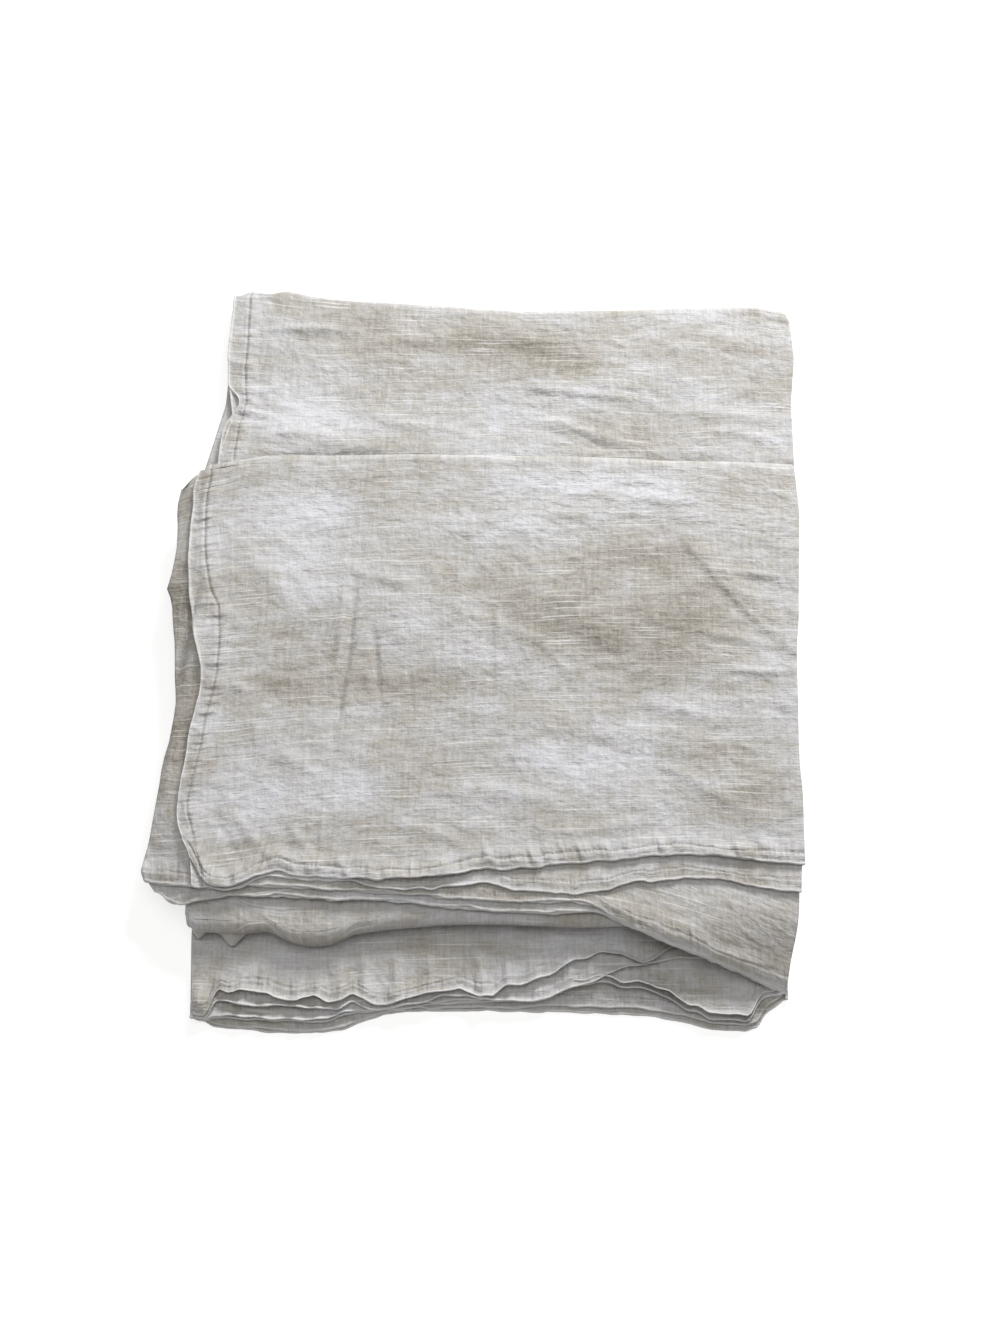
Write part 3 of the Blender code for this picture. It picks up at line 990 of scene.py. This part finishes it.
    def overhang_fall(self, x: np.ndarray, y: np.ndarray) -> np.ndarray:
        """How far the folded thirds sink where they reach out to the left of the sewn edge above them.

        Args:
            x, y: places in metres.

        Returns:
            slope * distance past the sewn edge, and 0 for the first third.
        """
        if self.third == 0:
            return np.zeros_like(x)
        return OVERHANG_SLOPE * np.clip(LEFT_TOP.at(y) - OVERHANG_START - x, 0, OVERHANG_MOST)

    def cloth_map(self, columns: Columns, rows: Rows, x: np.ndarray, y: np.ndarray) -> np.ndarray:
        """Where each place lies on the flat cloth.

        The run along x and y turns over at each fold. The weft is straight, and near an uneven fold it runs
        along that fold: the fold less its mean is taken off, times exp(-distance / reach). On the top leaf
        it climbs to the right by up to 16 mm, and in the flap it falls to the right by a sixth.

        Args:
            columns, rows: places across and along the band.
            x, y: each place on the flat leaves in metres.

        Returns:
            u across the panel and v along it, in metres, uneven by a few millimetres.
        """
        facing = THIRD_FACINGS[self.third]
        flat_u = self.third * BAND_WIDTH + (x + EDGE_U if facing > 0 else FOLD_U - x)
        round_fold = columns.cloth_u[:, None] - self.third * BAND_WIDTH - BAND_WIDTH
        u = flat_u + round_fold * (columns.arc_x != 0)[:, None]
        folds = leaf_folds(x, WEFT_EASE)
        near = (np.exp(-np.abs(y - at) / WEFT_REACH) for at in folds)
        far, front, back = ((at - mean) * share for at, mean, share in zip(folds, FOLD_MEANS, near))
        turn = math.pi * LEAF_RADIUS
        second = 2 * FOLD_MEANS[0] + END_V + turn
        third = second - 2 * FOLD_MEANS[1] + turn
        fourth = third + 2 * FOLD_MEANS[2] + turn
        rising = 1 - np.exp(-np.clip(x + 290 * MM, 0, None) / (120 * MM))
        climb = 16 * MM * rising * smooth(0.0, 70 * MM, folds[2] - y)
        turned = -0.17 * (np.sqrt((x - 90 * MM) ** 2 + (30 * MM) ** 2) + x - 90 * MM) * (self.third > 0)
        v = np.choose(rows.leaf[None, :], [
            END_V + y - far,
            second - y + far + front,
            third + y - front - back,
            fourth - y + back + climb + turned,
        ])
        v = v + np.where(rows.turn != 0, (rows.angle + math.pi / 2) * LEAF_RADIUS, 0.0)[None, :]
        sway = self.lay.broad
        u = u + 3.5 * MM * sway.at(x + 5, y, 0.11, 0.05) + 0.7 * MM * sway.at(x, y, 0.03, 0.02)
        v = v + 4.0 * MM * sway.at(x, y + 5, 0.09, 0.12) + 0.5 * MM * sway.at(x, y + 3, 0.03, 0.03)
        return np.stack([u, v], axis=-1)

    def detail(
        self, x: np.ndarray, y: np.ndarray, to_end: np.ndarray, to_edge: np.ndarray, rows: Rows
    ) -> np.ndarray:
        """What this sheet alone does.

        Args:
            x, y: places in metres.
            to_end, to_edge: distances to the free end and the sewn edge in metres.
            rows: places along the band.

        Returns:
            Heights of its turned-up lips, its raised sewn edge and, where it shows, its stitch lines.
        """
        noise = self.lay.fine
        uneven = 1 + 0.55 * noise.at(x, 0 * x + 0.3, 0.021)
        low = (rows.leaf == 0)[None, :] & (to_end < NEAR_END)
        top = (rows.leaf == 3)[None, :] & (to_end < NEAR_END)
        height = np.where(low, lip_rise(LOW_LIPS.get(self.name, ()), x, to_end) * uneven, 0.0)
        height += np.where(top, lip_rise(TOP_LIPS.get(self.name, ()), x, to_end) * uneven, 0.0)
        at_hem = 0.45 * MM * np.exp(-((to_end / HEM_WIDTH) ** 2)) * noise.at(x, y, 0.0075, 0.1)
        height += np.where(low | top, at_hem, 0.0)
        if self.third > 0:
            return height
        bulge = 1 + 0.5 * noise.at(y, x, 0.02, 0.1)
        raised = SEAM_RISE * bulge * np.clip(1 - to_edge / SEAM_WIDTH, 0, 1) ** 2
        height += np.where(rows.shown()[None, :], raised, 0.0)
        if self.side is Side.FRONT:
            return height
        small = 0.3 * MM * noise.at(x + 3, y + 1, 0.010, 0.008)
        sewn = self.stitch_lines(x, y, to_end, to_edge) + small
        return height + np.where((rows.shown() & (rows.turn == 0))[None, :], sewn, 0.0)

    def stitch_lines(
        self, x: np.ndarray, y: np.ndarray, to_end: np.ndarray, to_edge: np.ndarray
    ) -> np.ndarray:
        """Grooves that the stitches pull in, and the puckers beside them.

        Args:
            x, y: places in metres.
            to_end, to_edge: distances to the free end and the sewn edge in metres.

        Returns:
            For each of the two lines, d away from it: a groove -depth * exp(-(d / 1.6 mm)^2) and puckers
            of noise along the line times exp(-(d / reach)^2). The hem also has a ridge 5 mm outside it.
        """
        noise = self.lay.fine
        from_seam = to_edge - SEAM_WIDTH
        seam = -GROOVE * np.exp(-((from_seam / GROOVE_WIDTH) ** 2))
        puckers = np.clip(0.2 + noise.at(y, x, 0.0085, 0.1), 0, None)
        seam += 1.5 * MM * np.exp(-((from_seam / (9 * MM)) ** 2)) * puckers
        from_hem = to_end - self.hem_width(x)
        hem = -GROOVE * np.exp(-((from_hem / GROOVE_WIDTH) ** 2))
        hem += 1.3 * MM * np.exp(-(((from_hem + 5 * MM) / (3.5 * MM)) ** 2))
        puckers = np.clip(0.2 + noise.at(x + 0.4 + 0.5 * y, y, 0.0075, 0.1), 0, None)
        hem += 2.8 * MM * np.exp(-((from_hem / (10 * MM)) ** 2)) * puckers
        return seam + hem

    def hem_width(self, x: np.ndarray) -> np.ndarray:
        """Width of the hem, uneven along x."""
        return HEM_WIDTH * (0.85 + 0.25 * self.lay.fine.at(x + 0.7, 0 * x, 0.045))

    def build(self, material: bpy.types.Material) -> bpy.types.Object:
        """The sheet as a closed thin mesh with its maps.

        Args:
            material: the cloth's finish.

        Returns:
            The piece: two grids of quads, one turned over, and a band of quads round their rims.
        """
        points, (across, along), maps = self.points()
        count = across * along
        i, j = np.meshgrid(np.arange(across - 1), np.arange(along - 1), indexing="ij")
        a = (i * along + j).ravel()
        quads = np.stack([a, a + along, a + along + 1, a + 1], axis=1)
        rim = np.concatenate([
            np.arange(0, across - 1) * along,
            (across - 1) * along + np.arange(0, along - 1),
            np.arange(across - 1, 0, -1) * along + along - 1,
            np.arange(along - 1, 0, -1),
        ])
        after = np.roll(rim, -1)
        sides = np.stack([rim, rim + count, after + count, after], axis=1)
        faces = np.concatenate([quads, quads[:, ::-1] + count, sides])
        mesh = bpy.data.meshes.new(self.name)
        mesh.from_pydata(points.tolist(), [], faces.tolist())
        corners = np.empty(len(mesh.loops), np.int32)
        mesh.loops.foreach_get("vertex_index", corners)
        for name, made in maps.items():
            layer = mesh.uv_layers.new(name=name)
            layer.data.foreach_set("uv", made[corners % count].astype(np.float32).ravel())
        mesh.shade_smooth()
        mesh.materials.append(material)
        piece = bpy.data.objects.new(self.name, mesh)
        bpy.context.scene.collection.objects.link(piece)
        turn_outwards(mesh)
        return piece


def turn_outwards(mesh: bpy.types.Mesh) -> None:
    """Turns a closed mesh's faces over if the volume that they enclose, signed, is below 0.

    Args:
        mesh: the closed mesh.
    """
    mesh.calc_loop_triangles()
    points = np.empty(len(mesh.vertices) * 3, np.float32)
    mesh.vertices.foreach_get("co", points)
    corners = np.empty(len(mesh.loop_triangles) * 3, np.int32)
    mesh.loop_triangles.foreach_get("vertices", corners)
    triangles = points.reshape(-1, 3)[corners.reshape(-1, 3)].astype(float)
    if np.linalg.det(triangles).sum() < 0:
        mesh.flip_normals()


def linear(code: str) -> tuple[float, float, float, float]:
    """Linear colour of an sRGB hex code.

    Args:
        code: such as #AEADAC.

    Returns:
        Red, green, blue and 1.
    """
    parts = [int(code[k : k + 2], 16) / 255 for k in (1, 3, 5)]
    made = [p / 12.92 if p <= 0.04045 else ((p + 0.055) / 1.055) ** 2.4 for p in parts]
    return (*made, 1.0)


def add_node(tree: Tree, kind: str, inputs: dict, output: int | str = 0, **settings: str) -> Socket:
    """A new node with its settings and links.

    Args:
        tree: the material's nodes.
        kind: the node's type.
        inputs: for each input's name or number, the socket to link to it or the value to set on it.
        output: name or number of the output that is wanted.
        settings: the node's own settings.

    Returns:
        That output.
    """
    node = tree.nodes.new(kind)
    for name, value in settings.items():
        setattr(node, name, value)
    for place, value in inputs.items():
        if isinstance(value, Socket):
            tree.links.new(value, node.inputs[place])
        else:
            node.inputs[place].default_value = value
    return node.outputs[output]


@dataclass(frozen=True)
class Yarn:
    """One scale of unevenness in the weave.

    Fields:
        along_u, along_v: grain along the weft and along the warp in millimetres.
        strength: its share in the tone.
        detail: octaves of finer noise in it.
    """

    along_u: float
    along_v: float
    strength: float
    detail: float = 2.0


@dataclass(frozen=True)
class Patch:
    """A paler (tone above 0) or warmer (below 0) stretch, partly painted light and shade: middle and radii in
    millimetres.
    """

    u: float
    v: float
    radius_u: float
    radius_v: float
    tone: float


# Nodes of a material
MATH = "ShaderNodeMath"
VECTOR = "ShaderNodeVectorMath"
RANGE = "ShaderNodeMapRange"
MIX = "ShaderNodeMix"

# Slubs, stitches, and how far each layer of relief stands up
SLUBS = Yarn(75, 1.5, 1, 0)
STITCH_THICK = 1.2 * MM
STITCH_PITCH = 3.6 * MM
WRINKLE_HEIGHT = 2.2 * MM
YARN_HEIGHT = 0.24 * MM
GATHER_HEIGHT = 4.5 * MM
# Partly the linen's uneven colour and partly painted light and shade: paler where the top leaf faces the
# light, warmer and darker where the cloth tilts away, as near the far fold
# On the first third: the top leaf has v = 2023 - y and the leaf behind it v = 1118 - y
COLOUR_LIGHT_AND_SHADE_PATCHES = (
    Patch(85, 1890, 130, 85, 0.12),
    Patch(370, 1856, 130, 50, 0.09),
    Patch(410, 1985, 190, 110, -0.14),
    Patch(80, 2150, 130, 75, 0.13),
    Patch(330, 2144, 130, 50, 0.08),
    Patch(80, 2050, 115, 62, -0.12),
    Patch(470, 2160, 110, 60, -0.07),
    Patch(120, 856, 170, 45, 0.10),
    Patch(300, 771, 290, 55, -0.14),
    Patch(410, 833, 130, 40, 0.07),
)
# On the second third: painted shade, darker and warmer, on the strip of the top leaf's folded side that
# shows to the left of the sewn edge, where it faces down and left in the shadow of that edge
PLAIN_SHADE_PATCHES = {Side.FRONT: (Patch(1164, 2023, 60, 270, -0.12),), Side.BACK: ()}


@dataclass(frozen=True)
class SlubLinen:
    """Undyed linen, plain-woven from uneven yarn, washed soft and never pressed.

    It is dull, with no sheen. One tone adds the yarns' unevenness at each scale and runs from dark through
    warm grey-beige to a pale cool grey, which gives the crosshatch, the streaks along the weft and the
    paler stretches, with placed patches that are partly painted light and shade. Pale slubs lie on top of
    it, the outermost edges of hems and sewn edges carry a painted highlight, stitches are darkened partly
    by painted shade of their groove, and yarns, small wrinkles and the puckers at the stitches stand up.

    Real yarns lie about 0.5 mm apart and stitches are about 2.5 mm long and half a millimetre thick. Both
    are too fine to show, so the finest yarns are drawn 1.5 by 5.5 mm, and stitches 3.6 mm apart and
    1.2 mm thick. Slubs are drawn 1.5 mm thick and 75 mm long.

    Fields:
        name: the material's name.
        stitched: whether its stitches show.
        patches: paler and warmer stretches, listed one by one.
        dark, warm, ground, pale: colours at the tones in stops.
        slub, thread_and_groove_shade: colour of the slubs and of the painted highlight on the outermost
            edges,
        and of the stitches, dark partly as painted shade of the groove that they pull in.
        stops: tones of the four colours.
        roughness: roughness of washed linen.
        yarns: scales of unevenness, the two finest last.
    """

    name: str
    stitched: bool = False
    patches: tuple[Patch, ...] = ()
    dark: str = "#7C776E"
    warm: str = "#A09C95"
    ground: str = "#AEADAC"
    pale: str = "#C2C2C7"
    slub: str = "#D0D0D0"
    thread_and_groove_shade: str = "#6A645B"
    stops: tuple[float, float, float, float] = (0.22, 0.41, 0.52, 0.68)
    roughness: float = 0.93
    yarns: tuple[Yarn, ...] = (
        Yarn(120, 60, 0.48),
        Yarn(34, 17, 0.22),
        Yarn(30, 3.0, 0.20),
        Yarn(3.4, 34, 0.24),
        Yarn(5.5, 1.5, 0.20),
        Yarn(1.5, 5.5, 0.22),
    )

    def build(self) -> bpy.types.Material:
        """The material, drawn on the sheet's own maps.

        Returns:
            A material with the cloth's colour, dullness and relief.
        """
        material = bpy.data.materials.new(self.name)
        material.use_nodes = True
        tree = material.node_tree
        shader = tree.nodes["Principled BSDF"]
        shader.inputs["Roughness"].default_value = self.roughness
        cloth = add_node(tree, "ShaderNodeUVMap", {}, uv_map="cloth")
        edges = add_node(tree, "ShaderNodeUVMap", {}, uv_map="edges")
        to_edge, to_end = (add_node(tree, "ShaderNodeSeparateXYZ", {0: edges}, axis) for axis in "XY")
        weave = [self.grain(tree, cloth, yarn) for yarn in self.yarns]
        slubs = self.grain(tree, cloth, SLUBS)
        colour = self.colour(tree, cloth, weave, slubs)
        # Painted highlight: the outermost 1.5 mm of hems and sewn edges are mixed towards the slub colour,
        # where their rolled edges catch the light
        nearest = add_node(tree, MATH, {0: to_edge, 1: to_end}, operation="MINIMUM")
        range_inputs = {"Value": nearest, "From Min": 2.8 * MM, "From Max": 1.5 * MM, "To Max": 0.55}
        edge_highlight = add_node(tree, RANGE, range_inputs)
        colour = add_node(tree, MIX, {0: edge_highlight, 6: colour, 7: linear(self.slub)}, 2, data_type="RGBA")
        # Stitches mixed towards a dark colour, partly the sewing yarn and partly painted shade of the groove
        # that they pull in
        if self.stitched:
            sewn = self.stitches(tree, cloth, to_edge, to_end)
            sewn = add_node(tree, MATH, {0: sewn, 1: 0.42}, operation="MULTIPLY")
            colour = add_node(tree, MIX, {0: sewn, 6: colour, 7: linear(self.thread_and_groove_shade)}, 2, data_type="RGBA")
        tree.links.new(colour, shader.inputs["Base Color"])
        yarns = add_node(tree, MATH, {0: weave[-2], 1: slubs}, operation="ADD")
        yarns = add_node(tree, MATH, {0: weave[-1], 1: yarns}, operation="ADD")
        reliefs = (
            (self.wrinkles(tree, cloth), WRINKLE_HEIGHT),
            (yarns, YARN_HEIGHT),
            (self.gathers(tree, cloth, to_edge, to_end), GATHER_HEIGHT),
        )
        below = {}
        for height, distance in reliefs:
            raised = {"Height": height, "Distance": distance, "Strength": 1.0}
            below = {"Normal": add_node(tree, "ShaderNodeBump", raised | below)}
        tree.links.new(below["Normal"], shader.inputs["Normal"])
        return material

    def grain(self, tree: Tree, cloth: Socket, yarn: Yarn) -> Socket:
        """A noise with the yarn's grain.

        Args:
            tree: the material's nodes.
            cloth: the cloth map.
            yarn: its grain and detail.

        Returns:
            Values round 0.5.
        """
        scale = (1 / (yarn.along_u * MM), 1 / (yarn.along_v * MM), 1.0)
        place = add_node(tree, VECTOR, {0: cloth, 1: scale}, operation="MULTIPLY")
        return add_node(tree, "ShaderNodeTexNoise", {"Vector": place, "Scale": 1.0, "Detail": yarn.detail})

    def colour(self, tree: Tree, cloth: Socket, weave: list[Socket], slubs: Socket) -> Socket:
        """Colour of the cloth between its edges.

        Args:
            tree: the material's nodes.
            cloth: the cloth map.
            weave: the yarns' unevenness at each scale.
            slubs: the slubs' noise, of which only the peaks are slubs.

        Returns:
            The colour at the tone 0.5 + the sum of (value - 0.5) * strength + the patches, under the slubs.
        """
        tone = 0.5
        for value, yarn in zip(weave, self.yarns):
            centred = add_node(tree, MATH, {0: value, 1: 0.5}, operation="SUBTRACT")
            scaled = add_node(tree, MATH, {0: centred, 1: yarn.strength}, operation="MULTIPLY")
            tone = add_node(tree, MATH, {0: scaled, 1: tone}, operation="ADD")
        # Patches add paler and warmer stretches, partly painted light and shade
        for patch in self.patches:
            tone = add_node(tree, MATH, {0: self.spot(tree, cloth, patch), 1: tone}, operation="ADD")
        colour = add_node(tree, "ShaderNodeValToRGB", {"Fac": tone})
        ramp = colour.node.color_ramp
        for _ in self.stops[2:]:
            ramp.elements.new(0.5)
        codes = (self.dark, self.warm, self.ground, self.pale)
        for element, place, code in zip(ramp.elements, self.stops, codes):
            element.position = place
            element.color = linear(code)
        peaks = add_node(tree, RANGE, {"Value": slubs, "From Min": 0.685, "From Max": 0.75, "To Max": 0.6})
        return add_node(tree, MIX, {0: peaks, 6: colour, 7: linear(self.slub)}, 2, data_type="RGBA")

    def spot(self, tree: Tree, cloth: Socket, patch: Patch) -> Socket:
        """Tone of a soft patch.

        Args:
            tree: the material's nodes.
            cloth: the cloth map.
            patch: where it is, how large and how strong.

        Returns:
            The patch's tone at its middle, 0 from one radius away on.
        """
        middle = (patch.u * MM, patch.v * MM, 0.0)
        scale = (1 / (patch.radius_u * MM), 1 / (patch.radius_v * MM), 0.0)
        moved = add_node(tree, VECTOR, {0: cloth, 1: middle}, operation="SUBTRACT")
        scaled = add_node(tree, VECTOR, {0: moved, 1: scale}, operation="MULTIPLY")
        away = add_node(tree, VECTOR, {0: scaled}, "Value", operation="LENGTH")
        range_inputs = {"Value": away, "To Min": patch.tone, "To Max": 0.0}
        return add_node(tree, RANGE, range_inputs, interpolation_type="SMOOTHSTEP")

    def stitches(self, tree: Tree, cloth: Socket, to_edge: Socket, to_end: Socket) -> Socket:
        """Two rows of stitches.

        Args:
            tree: the material's nodes.
            cloth: the cloth map.
            to_edge, to_end: distances to the sewn edge and to the free end.

        Returns:
            1 on the short stitches beside the sewn edge and along the hems, 0 elsewhere.
        """
        rows = []
        for away, place, run in ((to_edge, SEAM_WIDTH, "Y"), (to_end, HEM_WIDTH, "X")):
            near = add_node(tree, MATH, {0: away, 1: place, 2: STITCH_THICK / 2}, operation="COMPARE")
            along = add_node(tree, "ShaderNodeSeparateXYZ", {0: cloth}, run)
            counted = add_node(tree, MATH, {0: along, 1: 1 / STITCH_PITCH}, operation="MULTIPLY")
            part = add_node(tree, MATH, {0: counted}, operation="FRACT")
            sewn = add_node(tree, MATH, {0: part, 1: 0.75}, operation="LESS_THAN")
            rows.append(add_node(tree, MATH, {0: near, 1: sewn}, operation="MULTIPLY"))
        return add_node(tree, MATH, dict(enumerate(rows)), operation="MAXIMUM")

    def wrinkles(self, tree: Tree, cloth: Socket) -> Socket:
        """Small wrinkles, sharp along their ridges.

        Args:
            tree: the material's nodes.
            cloth: the cloth map.

        Returns:
            One noise less |another - 0.5|.
        """
        wrinkle = self.grain(tree, cloth, Yarn(26, 17, 1, 3))
        centred = add_node(tree, MATH, {0: wrinkle, 1: 0.5}, operation="SUBTRACT")
        ridge = add_node(tree, MATH, {0: centred}, operation="ABSOLUTE")
        soft = self.grain(tree, cloth, Yarn(13, 9, 1, 2))
        return add_node(tree, MATH, {0: soft, 1: ridge}, operation="SUBTRACT")

    def gathers(self, tree: Tree, cloth: Socket, to_edge: Socket, to_end: Socket) -> Socket:
        """Puckers across the hem and the sewn edge, and the groove that the stitches pull in.

        Args:
            tree: the material's nodes.
            cloth: the cloth map.
            to_edge, to_end: distances to the sewn edge and to the free end.

        Returns:
            For both lines, noise across the line that fades out 14 mm from it, less a groove 5 mm wide.
        """
        total = 0.0
        lines = ((to_edge, SEAM_WIDTH, Yarn(60, 6.5, 1, 1)), (to_end, HEM_WIDTH, Yarn(6.5, 60, 1, 1)))
        for distance, place, yarn in lines:
            signed = add_node(tree, MATH, {0: distance, 1: place}, operation="SUBTRACT")
            away = add_node(tree, MATH, {0: signed}, operation="ABSOLUTE")
            near = add_node(tree, RANGE, {"Value": away, "From Min": 14 * MM, "From Max": 1 * MM})
            pucker = add_node(tree, MATH, {0: self.grain(tree, cloth, yarn), 1: near}, operation="MULTIPLY")
            pulled = {"Value": away, "From Min": 2.6 * MM, "From Max": 0.4 * MM, "To Max": 0.16}
            part = add_node(tree, MATH, {0: pucker, 1: add_node(tree, RANGE, pulled)}, operation="SUBTRACT")
            total = add_node(tree, MATH, {0: part, 1: total}, operation="ADD")
        return total


@dataclass(frozen=True)
class MattFloor:
    """Matt white paper, lit until it is nearly plain, with only a breath of shadow left on it.

    Fields:
        colour, roughness: the paper's.
        glow: strength of the even white light that it gives off.
        size: length of its sides in metres.
    """

    colour: str = "#B8B8B8"
    roughness: float = 0.9
    glow: float = 0.66
    size: float = 8.0

    def build(self) -> None:
        """The floor with its paper."""
        bpy.ops.mesh.primitive_plane_add(size=self.size, location=(0, 0, 0))
        floor = bpy.context.object
        floor.name = "floor"
        paper = bpy.data.materials.new("matt white paper")
        paper.use_nodes = True
        inputs = paper.node_tree.nodes["Principled BSDF"].inputs
        inputs["Base Color"].default_value = linear(self.colour)
        inputs["Roughness"].default_value = self.roughness
        inputs["Emission Color"].default_value = (1, 1, 1, 1)
        inputs["Emission Strength"].default_value = self.glow
        floor.data.materials.append(paper)


@dataclass(frozen=True)
class Lamp:
    """A square soft light at a place, aimed at the cover: side in metres and power in watts."""

    name: str
    place: tuple[float, float, float]
    size: float
    power: float

    def build(self) -> None:
        """The light."""
        lamp = bpy.data.objects.new(self.name, bpy.data.lights.new(self.name, "AREA"))
        lamp.data.size = self.size
        lamp.data.energy = self.power
        lamp.location = self.place
        lamp.rotation_euler = (-Vector(self.place)).to_track_quat("-Z", "Y").to_euler()
        bpy.context.scene.collection.objects.link(lamp)


@dataclass(frozen=True)
class Studio:
    """A pale floor, soft light from above and behind, and the camera high in front.

    Fields:
        elevation: the camera's angle above the floor in degrees.
        distance: from the camera to where it aims, in metres.
        aim: that place.
        sensor, lens: in millimetres. The lens is as long as 1400 of the photo's 1333 pixels from top to
            bottom.
        sky, sky_strength: the even light all round.
        lamps: a window behind on the right and a softbox overhead.
    """

    elevation: float = 72.0
    distance: float = 1.31
    aim: tuple[float, float, float] = (0.0109, -0.03975, 0.030)
    sensor: float = 36.0
    lens: float = 36 * 1400 / 1333
    sky: tuple[float, float, float, float] = (1.0, 0.968, 0.93, 1.0)
    sky_strength: float = 0.33
    lamps: tuple[Lamp, ...] = (
        Lamp("back_window", (0.85, 1.9, 1.40), 0.8, 76),
        Lamp("overhead", (-0.1, 0.3, 2.6), 1.6, 24),
    )

    def build(self) -> None:
        """Floor, lights, world and camera."""
        scene = bpy.context.scene
        scene.view_settings.view_transform = "Standard"
        MattFloor().build()
        world = bpy.data.worlds.new("studio")
        world.use_nodes = True
        world.node_tree.nodes["Background"].inputs["Color"].default_value = self.sky
        world.node_tree.nodes["Background"].inputs["Strength"].default_value = self.sky_strength
        scene.world = world
        for lamp in self.lamps:
            lamp.build()
        angle = math.radians(self.elevation)
        camera = bpy.data.objects.new("camera", bpy.data.cameras.new("camera"))
        camera.data.sensor_width = self.sensor
        camera.data.lens = self.lens
        camera.data.clip_start = 0.01
        camera.location = Vector(self.aim) + Vector((0, -math.cos(angle), math.sin(angle))) * self.distance
        camera.rotation_euler = (math.radians(90 - self.elevation), 0, 0)
        scene.collection.objects.link(camera)
        scene.camera = camera


# The first third of the back panel shows most, so its top leaf is a sheet of its own
SHEETS = (
    Sheet("back_first_top", Side.BACK, 0, (12, 14, 12, 116), (10, 10, 20), 220, close_top=26, part=Part.TOP),
    Sheet(
        "back_first_under", Side.BACK, 0, (12, 14, 12, 20), (12, 10, 10), 190, shown_block=84, part=Part.UNDER
    ),
    Sheet("front_first", Side.FRONT, 0, (12, 14, 12, 20), (8, 8, 12), 150, close_top=16),
    Sheet("back_second", Side.BACK, 1, (14, 16, 12, 24), (8, 8, 12), 160, close_low=30),
    Sheet("front_second", Side.FRONT, 1, (14, 16, 12, 24), (8, 8, 12), 140, close_low=24, close_top=44),
    Sheet("back_third", Side.BACK, 2, (14, 16, 12, 20), (10, 14, 10), 170, close_low=34),
    Sheet("front_third", Side.FRONT, 2, (14, 16, 14, 20), (10, 28, 10), 170, close_low=44),
)


def main() -> None:
    """Builds the sheets and the studio."""
    plain = {
        side: SlubLinen(f"washed slub linen {side.name.lower()}", patches=PLAIN_SHADE_PATCHES[side]).build()
        for side in Side
    }
    stitched = {
        Side.BACK: SlubLinen("washed slub linen with stitching", stitched=True, patches=COLOUR_LIGHT_AND_SHADE_PATCHES).build(),
        Side.FRONT: SlubLinen("washed slub linen front with stitching", stitched=True).build(),
    }
    for sheet in SHEETS:
        piece = sheet.build((stitched if sheet.third == 0 else plain)[sheet.side])
        panel = sheet.side.name.lower()
        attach(piece, "root")
        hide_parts(panel + "_panel")
        log.info("%s: %d faces", sheet.name, len(piece.data.polygons))
    Studio().build()


if __name__ == "__main__":
    main()
